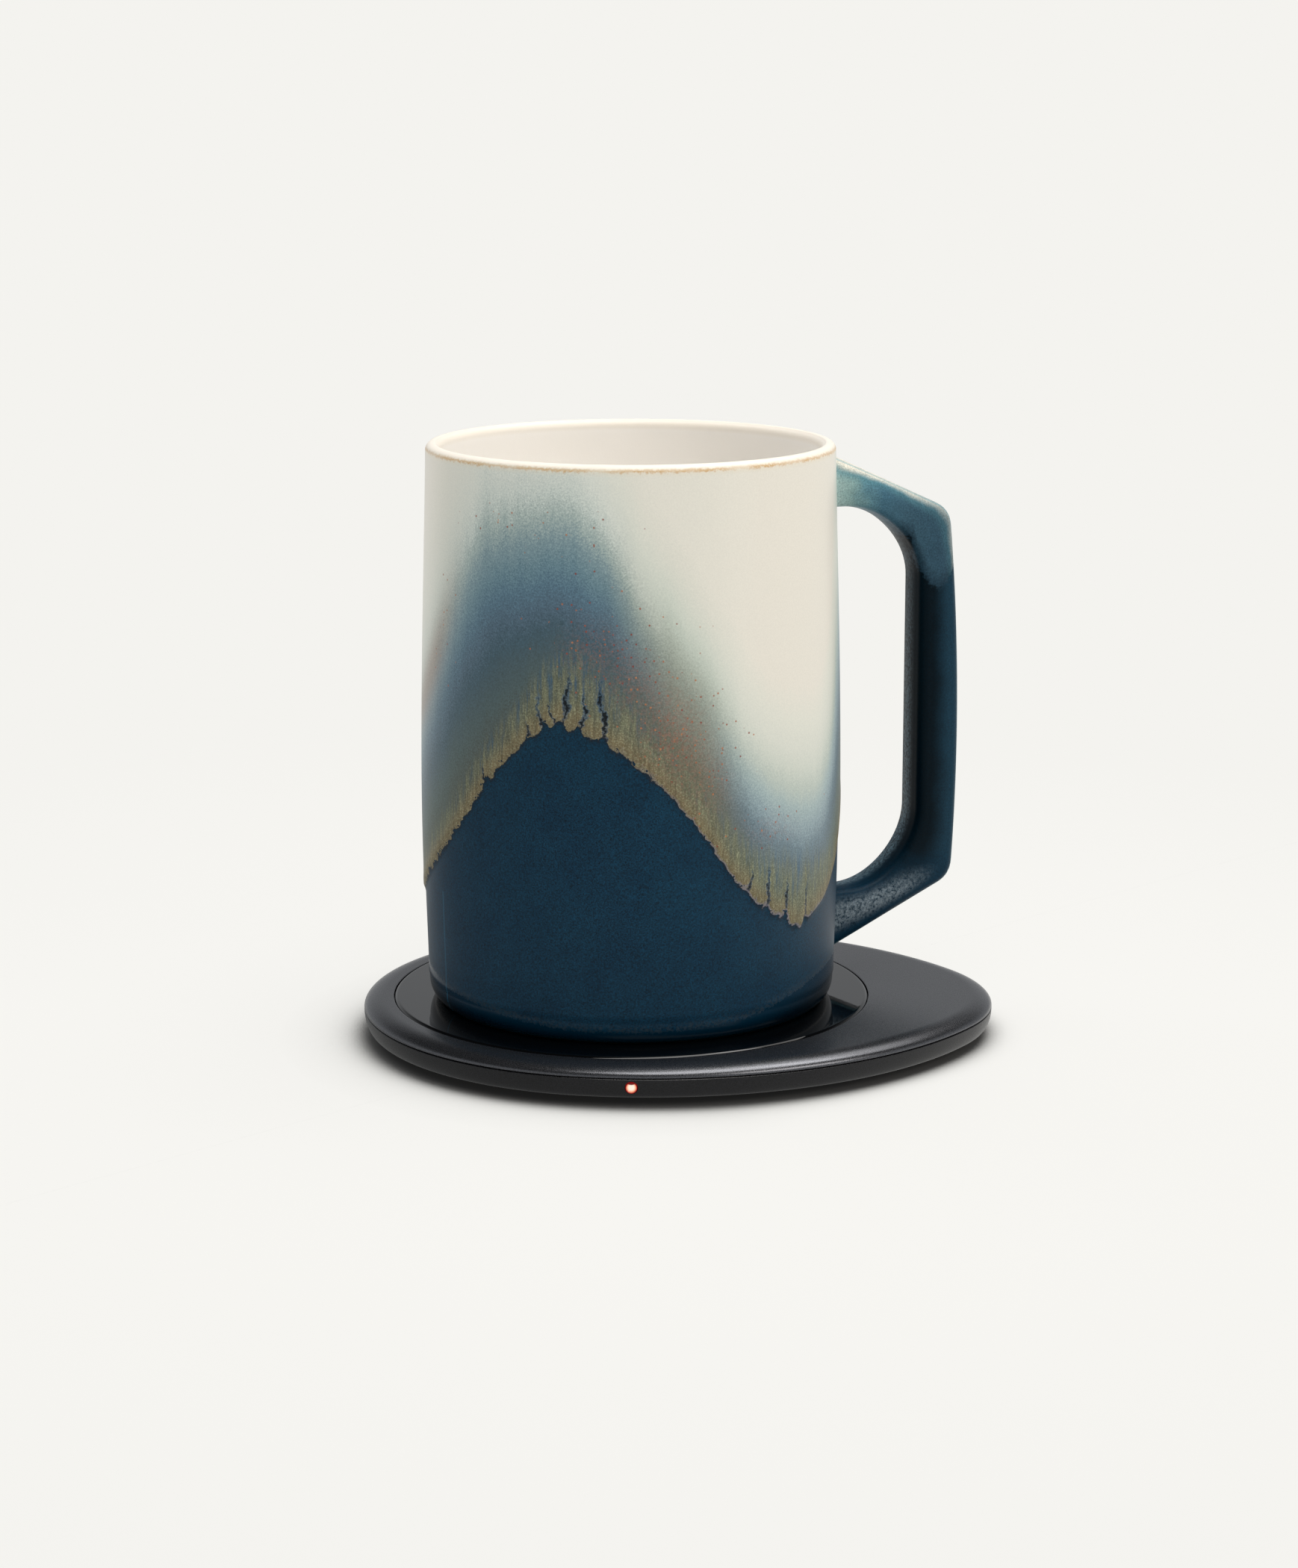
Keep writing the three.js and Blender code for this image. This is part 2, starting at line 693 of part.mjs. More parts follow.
function mugBody() {
  const footRoundWidth = footRoundTopRadius - footRadius;
  const rimRound = rimThickness / 2;
  const rimMiddle = rimRadius - rimRound;
  const floorCornerRadius = lowerWallRadius - wallThickness - mugFloorRound;
  return turned(
    [
      new THREE.Vector2(0, recessHeight),
      new THREE.Vector2(recessRadius, recessHeight),
      new THREE.Vector2(recessRadius, 0),
      ...ellipseArc(footRadius, footRoundHeight, footRoundWidth, footRoundHeight, -Math.PI / 2, 0),
      ...outerWall().slice(1),
      ...ellipseArc(rimMiddle, mugHeight - rimRound, rimRound, rimRound, 0, Math.PI).slice(1),
      ...innerWall().slice(1),
      ...ellipseArc(
        floorCornerRadius,
        mugFloorHeight + mugFloorRound,
        mugFloorRound,
        mugFloorRound,
        0,
        -Math.PI / 2,
      ).slice(1),
      new THREE.Vector2(0, mugFloorHeight),
    ],
    mugSides,
  );
}
addPiece(mug, "mug_body", mugBody(), darkGlaze);

// The handle, seen from the side: two sloping arms that meet a slightly bowed bar in crisp corners.
// Drops, depths, falls and rises are along the mug's axis, and the other lengths run away from it.
const handle = {
  width: 10,
  edgeRound: 1.8,
  sunkDepth: 4, // its ends run into the wall before they are cut back
  standOut: 30.6, // from the rim's edge to the bar's farthest point
  barThickness: 8.4,
  upperBow: 2.2, // the corners stand in from the farthest point
  lowerBow: 1.3,
  cornerRound: 4,
  upperRootDrop: 1.8, // below the rim
  upperRootDepth: 13,
  upperArmFall: 14.6,
  lowerRootRise: 2.3, // above the foot
  lowerRootDepth: 14.1,
  lowerArmRise: 15.9,
  upperArch: { run: 19.2, rise: 17.6 },
  lowerArch: { run: 15.2, rise: 15.6 },
};

// The point on the way from one corner to another, at a distance from the first.
function towards([x0, y0], [x1, y1], distance) {
  const share = distance / Math.hypot(x1 - x0, y1 - y0);
  return [x0 + (x1 - x0) * share, y0 + (y1 - y0) * share];
}

function handleOutline() {
  const h = handle;
  const rootX = Math.min(rimRadius, lowerWallRadius) - h.sunkDepth;
  const reach = rimRadius + h.standOut;
  const gapX = reach - h.barThickness;
  const topRoot = [rootX, mugHeight - h.upperRootDrop];
  const bottomRoot = [rootX, h.lowerRootRise];
  const upperCorner = [reach - h.upperBow, topRoot[1] - h.upperArmFall];
  const lowerCorner = [reach - h.lowerBow, bottomRoot[1] + h.lowerArmRise];
  const bow = [2 * reach - (upperCorner[0] + lowerCorner[0]) / 2, (upperCorner[1] + lowerCorner[1]) / 2];
  const gapTop = topRoot[1] - h.upperRootDepth;
  const gapBottom = bottomRoot[1] + h.lowerRootDepth;
  const outline = new THREE.Shape();
  outline.moveTo(...topRoot);
  outline.lineTo(...towards(upperCorner, topRoot, h.cornerRound));
  outline.quadraticCurveTo(...upperCorner, ...towards(upperCorner, bow, h.cornerRound));
  outline.quadraticCurveTo(...bow, ...towards(lowerCorner, bow, h.cornerRound));
  outline.quadraticCurveTo(...lowerCorner, ...towards(lowerCorner, bottomRoot, h.cornerRound));
  outline.lineTo(...bottomRoot);
  outline.lineTo(rootX, gapBottom);
  const lower = [gapX - h.lowerArch.run, gapBottom + h.lowerArch.rise];
  outline.lineTo(lower[0], gapBottom);
  outline.bezierCurveTo((gapX + lower[0]) / 2, gapBottom, gapX, (gapBottom + lower[1]) / 2, gapX, lower[1]);
  const upper = [gapX - h.upperArch.run, gapTop - h.upperArch.rise];
  outline.lineTo(gapX, upper[1]);
  outline.bezierCurveTo(gapX, (upper[1] + gapTop) / 2, (gapX + upper[0]) / 2, gapTop, upper[0], gapTop);
  outline.lineTo(rootX, gapTop);
  return outline;
}

function mugHandle() {
  const { width, edgeRound } = handle;
  const bar = new THREE.ExtrudeGeometry(handleOutline(), {
    depth: width - 2 * edgeRound,
    bevelThickness: edgeRound,
    bevelSize: edgeRound,
    bevelOffset: -edgeRound,
    bevelSegments: 3,
    curveSegments: 7,
  });
  bar.translate(0, 0, edgeRound - width / 2).rotateX(Math.PI / 2);
  const wall = turned(
    [
      new THREE.Vector2(0, -overrun),
      new THREE.Vector2(lowerWallRadius + seatClearance, -overrun),
      ...outerWall(seatClearance).filter((point) => point.y > lowerWallHeight),
      new THREE.Vector2(rimRadius + seatClearance, mugHeight + overrun),
      new THREE.Vector2(0, mugHeight + overrun),
    ],
    mugSides,
  );
  return cut(bar, wall);
}
addPiece(mug, "mug_handle", mugHandle(), darkGlaze);

// The heating parts in the mug's foot, stacked from the base plate up to the ceramic floor.
const plateRecess = 0.3; // the plate stays clear of the disc
const plateThickness = 1;
const receiverThickness = 0.7;
const sheetThickness = 0.5;
const filmThickness = 0.3;
const plateZ = plateRecess;
const receiverZ = plateZ + plateThickness;
const sheetZ = receiverZ + receiverThickness;
const padZ = sheetZ + sheetThickness;
const filmZ = recessHeight - filmThickness;
const sealWidth = 1;
const sealOuterRadius = recessRadius - boreClearance;
const plateRadius = sealOuterRadius - sealWidth - boreClearance;
const filmMargin = 2.2;
const heatingRadius = recessRadius - filmMargin;
const receiverMargin = 2; // between the small board and the winding round it
const receiverBoardRadius = winding.innerRadius - receiverMargin;
const sheetHoleRadius = winding.innerRadius - receiverMargin / 2;
const rectifierSide = 4;

addPiece(mug, "base_plate", upright(plateRadius, plateZ, receiverZ, 0, 0, mugSides), mouldedBlack);
addPiece(
  mug,
  "base_seal",
  upRing(sealOuterRadius - sealWidth, sealOuterRadius, plateZ, receiverZ, mugSides),
  greyRubber,
);
addPiece(mug, "receiving_coil", flatWinding(heatingRadius, receiverZ, sheetZ), copper);
addPiece(mug, "receiver_board", upright(receiverBoardRadius, receiverZ, sheetZ), boardGreen);
addPiece(mug, "rectifier_chip", block(rectifierSide, rectifierSide, sheetZ, padZ, 0, 0), chipBlack);
addPiece(mug, "ferrite_sheet", upRing(sheetHoleRadius, heatingRadius, sheetZ, padZ), ferrite);
addPiece(mug, "insulation_pad", upright(heatingRadius, padZ, filmZ), insulation);
addPiece(mug, "heating_film", upright(heatingRadius, filmZ, recessHeight), silver);

const selfHeatingMug = new THREE.Group();
selfHeatingMug.add(base, mug);

export default selfHeatingMug;
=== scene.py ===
# A stoneware mug with a reactive glaze, on the flat black induction base that keeps it warm.
import math
from functools import partial

import bmesh
import bpy
import numpy as np
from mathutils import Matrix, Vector


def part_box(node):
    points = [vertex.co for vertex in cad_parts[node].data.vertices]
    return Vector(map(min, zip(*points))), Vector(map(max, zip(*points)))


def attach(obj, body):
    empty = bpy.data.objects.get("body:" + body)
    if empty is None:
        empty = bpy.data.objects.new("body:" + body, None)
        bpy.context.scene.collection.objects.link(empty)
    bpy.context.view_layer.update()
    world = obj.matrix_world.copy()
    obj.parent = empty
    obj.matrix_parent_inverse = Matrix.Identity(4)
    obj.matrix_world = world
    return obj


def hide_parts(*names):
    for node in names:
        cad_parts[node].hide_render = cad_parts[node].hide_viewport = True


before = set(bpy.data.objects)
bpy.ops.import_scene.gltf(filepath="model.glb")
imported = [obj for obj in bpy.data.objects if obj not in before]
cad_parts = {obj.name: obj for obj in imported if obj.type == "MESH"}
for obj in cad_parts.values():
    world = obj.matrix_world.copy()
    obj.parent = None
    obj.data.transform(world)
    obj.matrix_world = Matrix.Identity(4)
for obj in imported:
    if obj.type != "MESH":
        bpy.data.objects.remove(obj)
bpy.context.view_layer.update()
mm = 0.001


# Small helpers

def linearColour(hexText):
    parts = [int(hexText[i:i + 2], 16) / 255 for i in (0, 2, 4)]
    return (*[p / 12.92 if p <= 0.04045 else ((p + 0.055) / 1.055) ** 2.4 for p in parts], 1)


def addNode(tree, kind, *values, output=0, stops=(), **settings):
    # Adds a node, fills its live inputs in order, or by name from a dictionary, and gives back a live output.
    # The word after the dot is the node's operation or its like. Text among the values is a hex colour.
    kind, _, choice = kind.partition(".")
    made = tree.nodes.new("ShaderNode" + kind)
    if choice:
        setattr(made, {"MapRange": "interpolation_type", "Mix": "data_type"}.get(kind, "operation"), choice)
    for name, value in settings.items():
        setattr(made, name, value)
    inputs = [socket for socket in made.inputs if socket.enabled]
    pairs = list(zip(inputs, values))
    if values and isinstance(values[0], dict):
        pairs = [(made.inputs[name], value) for name, value in values[0].items()]
    for socket, value in pairs:
        if isinstance(value, bpy.types.NodeSocket):
            tree.links.new(value, socket)
        else:
            socket.default_value = linearColour(value) if isinstance(value, str) else value
    for k, (place, colour) in enumerate(stops):
        elements = made.color_ramp.elements
        element = elements[k] if k < 2 else elements.new(place)
        element.position = place
        element.color = linearColour(colour) if isinstance(colour, str) else (*colour, 1)
    outputs = [socket for socket in made.outputs if socket.enabled]
    return outputs[output] if outputs else made


def newMaterial(name, values):
    # Gives the material, a function that adds nodes to it and one that links an output to its shader.
    material = bpy.data.materials.new(name)
    material.use_nodes = True
    tree = material.node_tree
    inputs = tree.nodes["Principled BSDF"].inputs
    for key, value in values.items():
        inputs[key].default_value = linearColour(value) if isinstance(value, str) else value

    def link(output, key):
        tree.links.new(output, inputs[key])

    return material, partial(addNode, tree), link


def inMillimetres(add):
    return add("VectorMath.SCALE", add("TexCoord", output=3), 1 / mm)


def offFrom(add, value, middle):
    # How far a value lies from another, either way.
    return add("Math.ABSOLUTE", add("Math.SUBTRACT", value, middle))


def laidOver(add, colour, layers):
    # Lays tones over a colour one after another, each by its own share.
    for share, tone in layers:
        colour = add("Mix.RGBA", share, colour, tone)
    return colour


def makePiece(name, shape, body, slot, nodes, material=None, sharpOver=35):
    mesh = bpy.data.meshes.new(name)
    mesh.from_pydata(shape[0], [], shape[1])
    mesh.validate()
    mesh.materials.append(material or materials[slot])
    mesh.shade_smooth()
    mesh.set_sharp_from_angle(angle=math.radians(sharpOver))
    piece = bpy.data.objects.new(name, mesh)
    bpy.context.scene.collection.objects.link(piece)
    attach(piece, body)
    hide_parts(*nodes)
    return piece


def loft(rings, loop=False):
    # Joins rings of equally many points, and the last to the first or each end to its own middle point. The
    # rings run from the underside round the outside to the top.
    count = len(rings[0])
    points = [tuple(p) for ring in rings for p in ring]
    faces = []
    pairs = [(k, k + 1) for k in range(len(rings) - 1)]
    if loop:
        pairs.append((len(rings) - 1, 0))
    for a, b in pairs:
        for i in range(count):
            j = (i + 1) % count
            faces.append((a * count + i, a * count + j, b * count + j, b * count + i))
    if not loop:
        points.append(tuple(np.mean(rings[0], axis=0)))
        faces += [(len(points) - 1, (i + 1) % count, i) for i in range(count)]
        last = (len(rings) - 1) * count
        points.append(tuple(np.mean(rings[-1], axis=0)))
        faces += [(len(points) - 1, last + i, last + (i + 1) % count) for i in range(count)]
    return points, faces


def ellipseArc(x, y, radiusX, radiusY, fromDegrees, toDegrees, steps):
    angles = np.radians(np.linspace(fromDegrees, toDegrees, steps + 1))
    return [(x + radiusX * math.cos(a), y + radiusY * math.sin(a)) for a in angles]


def turnedRings(profile, sides=48, x=0, y=0):
    # Rings round an upright axis, through points of radius and height.
    angles = np.linspace(0, 2 * np.pi, sides, endpoint=False)
    return [np.stack([x + r * np.cos(angles), y + r * np.sin(angles), np.full(sides, z)], -1) * mm
            for r, z in profile]


def ringsAlongY(profile, z, sides=64):
    # Rings round an axis that runs from front to back, through points of radius and place along it.
    angles = np.linspace(0, 2 * np.pi, sides, endpoint=False)
    return [np.stack([r * np.cos(angles), np.full(sides, y), z + r * np.sin(angles)], -1) * mm
            for r, y in profile]


def cutOrJoin(piece, tools, operation):
    for points, faces in tools:
        mesh = bpy.data.meshes.new("tool")
        mesh.from_pydata(points, [], faces)
        tool = bpy.data.objects.new("tool", mesh)
        bpy.context.scene.collection.objects.link(tool)
        step = piece.modifiers.new("join", "BOOLEAN")
        step.operation, step.solver, step.object = operation, "EXACT", tool
        shape = bpy.data.meshes.new_from_object(piece.evaluated_get(bpy.context.evaluated_depsgraph_get()))
        piece.modifiers.clear()
        old, piece.data = piece.data, shape
        shape.name = piece.name
        bpy.data.meshes.remove(old)
        bpy.data.objects.remove(tool)
        bpy.data.meshes.remove(mesh)
    piece.data.shade_smooth()
    piece.data.set_sharp_from_angle(angle=math.radians(35))


# Camera, lights and floor

stage = {
    "paper": "f4f3ef",
    "roomLow": "848689",  # what lights the object softly, from the sides and from above
    "roomTop": "f8f8f9",
    "studioLow": "b0b2b4",  # what gloss mirrors near the horizon, and high up between the softboxes
    "studioTop": "2a2b2d",
    "floorBright": "f0efeb",  # what gloss mirrors of the floor behind the object, and of the floor in front
    "floorDim": "848584",
    "floorSize": 40.0,  # metres
    "cameraPlace": (0, -0.686432, 0.198846),  # metres
    "cameraTurn": (77.79224, 0, -0.297376),  # degrees
    "lens": 81.411,  # millimetres
    "lampsAimAt": (0, 0, 0.04),
    "shadowReach": 0.018,  # metres that the soft shadow reaches out from the object
    # towards the lamps the shadow is narrower: where that begins and ends on the right, and by what share
    "lampSide": (0.012, 0.06, 0.13),
    # how much of the paper's light is left by how open the floor lies there
    "shadowStops": [(0.5, (0.01, 0.01, 0.01)), (0.57, (0.14, 0.14, 0.14)), (0.67, (0.42, 0.42, 0.42)),
                    (0.77, (0.72, 0.72, 0.72)), (0.87, (0.9, 0.9, 0.9)), (0.97, (1, 1, 1))],
}

camera = bpy.data.objects.new("camera", bpy.data.cameras.new("camera"))
bpy.context.scene.collection.objects.link(camera)
camera.location = stage["cameraPlace"]
camera.rotation_euler = [math.radians(turn) for turn in stage["cameraTurn"]]
camera.data.lens = stage["lens"]
camera.data.sensor_width = 36
camera.data.clip_start, camera.data.clip_end = 0.02, 100
bpy.context.scene.camera = camera
bpy.context.scene.view_settings.view_transform = "Standard"

softboxes = [
    # name, place and size in metres, watts, colour
    ("overhead softbox", (0.2, -0.16, 0.95), (0.95, 0.4), 4.7, "fffdfa"),
    ("rear softbox", (0.42, 0.34, 0.88), (0.6, 0.5), 1.6, "fffdfa"),
    ("front right softbox", (0.9, -0.82, 0.75), (0.85, 0.5), 4.7, "fffaf4"),
    ("left softbox", (-0.65, 0.5, 0.7), (0.6, 0.8), 2.5, "f8faff"),
]
for name, place, size, watts, colour in softboxes:
    lamp = bpy.data.lights.new(name, "AREA")
    lamp.shape, lamp.size, lamp.size_y = "RECTANGLE", size[0], size[1]
    lamp.energy, lamp.color = watts, linearColour(colour)[:3]
    box = bpy.data.objects.new(name, lamp)
    bpy.context.scene.collection.objects.link(box)
    box.location = place
    box.visible_glossy = name != "left softbox"  # a fill light, too soft to mirror in the base
    box.rotation_euler = (Vector(stage["lampsAimAt"]) - Vector(place)).to_track_quat("-Z", "Y").to_euler()


def studioWorld():
    # Pale paper for the camera, a studio that darkens upwards for gloss, and even light for the rest.
    world = bpy.data.worlds.new("studio")
    bpy.context.scene.world = world
    world.use_nodes = True
    world.node_tree.nodes.clear()
    add = partial(addNode, world.node_tree)
    seen = add("LightPath")
    rays = seen.node.outputs
    gloss = add("Math.MAXIMUM", rays["Is Glossy Ray"], rays["Is Transmission Ray"])
    up = add("SeparateXYZ", add("TexCoord"), output=2)
    upShare = add("MapRange.SMOOTHSTEP", up, 0.22, 0.6)
    mirrored = add("Mix.RGBA", upShare, stage["studioLow"], stage["studioTop"])
    topShare = add("MapRange.SMOOTHSTEP", up, 0.5, 0.95)
    room = add("Mix.RGBA", topShare, stage["roomLow"], stage["roomTop"])
    colour = add("Mix.RGBA", gloss, room, mirrored)
    colour = add("Mix.RGBA", seen, colour, stage["paper"])
    light = add("Background", colour, 1)
    add("OutputWorld", light)


def paperFloor():
    # Seamless background paper: matte, with no grain at this distance. It is lit evenly but for the soft
    # shadow close round the object and a trace of the lamps' own shadows.
    material, add, link = newMaterial("seamless background paper", {
        "Base Color": stage["paper"], "Roughness": 0.9, "Specular IOR Level": 0.1})
    place = add("TexCoord", output=3)
    openness = add("AmbientOcclusion", {"Distance": stage["shadowReach"]}, output=1, samples=12)
    low, high, most = stage["lampSide"]
    right = add("SeparateXYZ", place, output=0)
    openness = add("Math.ADD", openness, add("MapRange.SMOOTHSTEP", right, low, high, 0, most))
    left = add("ValToRGB", openness, stops=stage["shadowStops"])
    seen = add("VectorMath.MULTIPLY", left, linearColour(stage["paper"])[:3])
    behind = add("VectorMath.DOT_PRODUCT", place, (0.6, 0.8, 0))
    behind = add("MapRange.SMOOTHSTEP", behind, -0.06, 0.1)
    mirrored = add("Mix.RGBA", behind, stage["floorDim"], stage["floorBright"])
    gloss = add("LightPath").node.outputs["Is Glossy Ray"]
    glow = add("Emission", add("Mix.RGBA", gloss, seen, mirrored))
    away = add("VectorMath.LENGTH", place)
    plain = add("MapRange", away, 0.08, 0.3, 0.88, 1)
    nodes = material.node_tree.nodes
    whole = add("MixShader", plain, nodes["Principled BSDF"].outputs[0], glow)
    material.node_tree.links.new(whole, nodes["Material Output"].inputs["Surface"])
    return material


studioWorld()
half = stage["floorSize"] / 2
floorMesh = bpy.data.meshes.new("floor")
corners = [(-half, -half, 0), (half, -half, 0), (half, half, 0), (-half, half, 0)]
floorMesh.from_pydata(corners, [], [(0, 1, 2, 3)])
floorMesh.materials.append(paperFloor())
floor = bpy.data.objects.new("floor", floorMesh)
bpy.context.scene.collection.objects.link(floor)
print("stage ready")


# The glaze on the mug. Angles are degrees round the mug, 0 at the front and 90 towards the tip of the base,
# and heights are millimetres above the mug's foot.

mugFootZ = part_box("mug_body")[0].z / mm

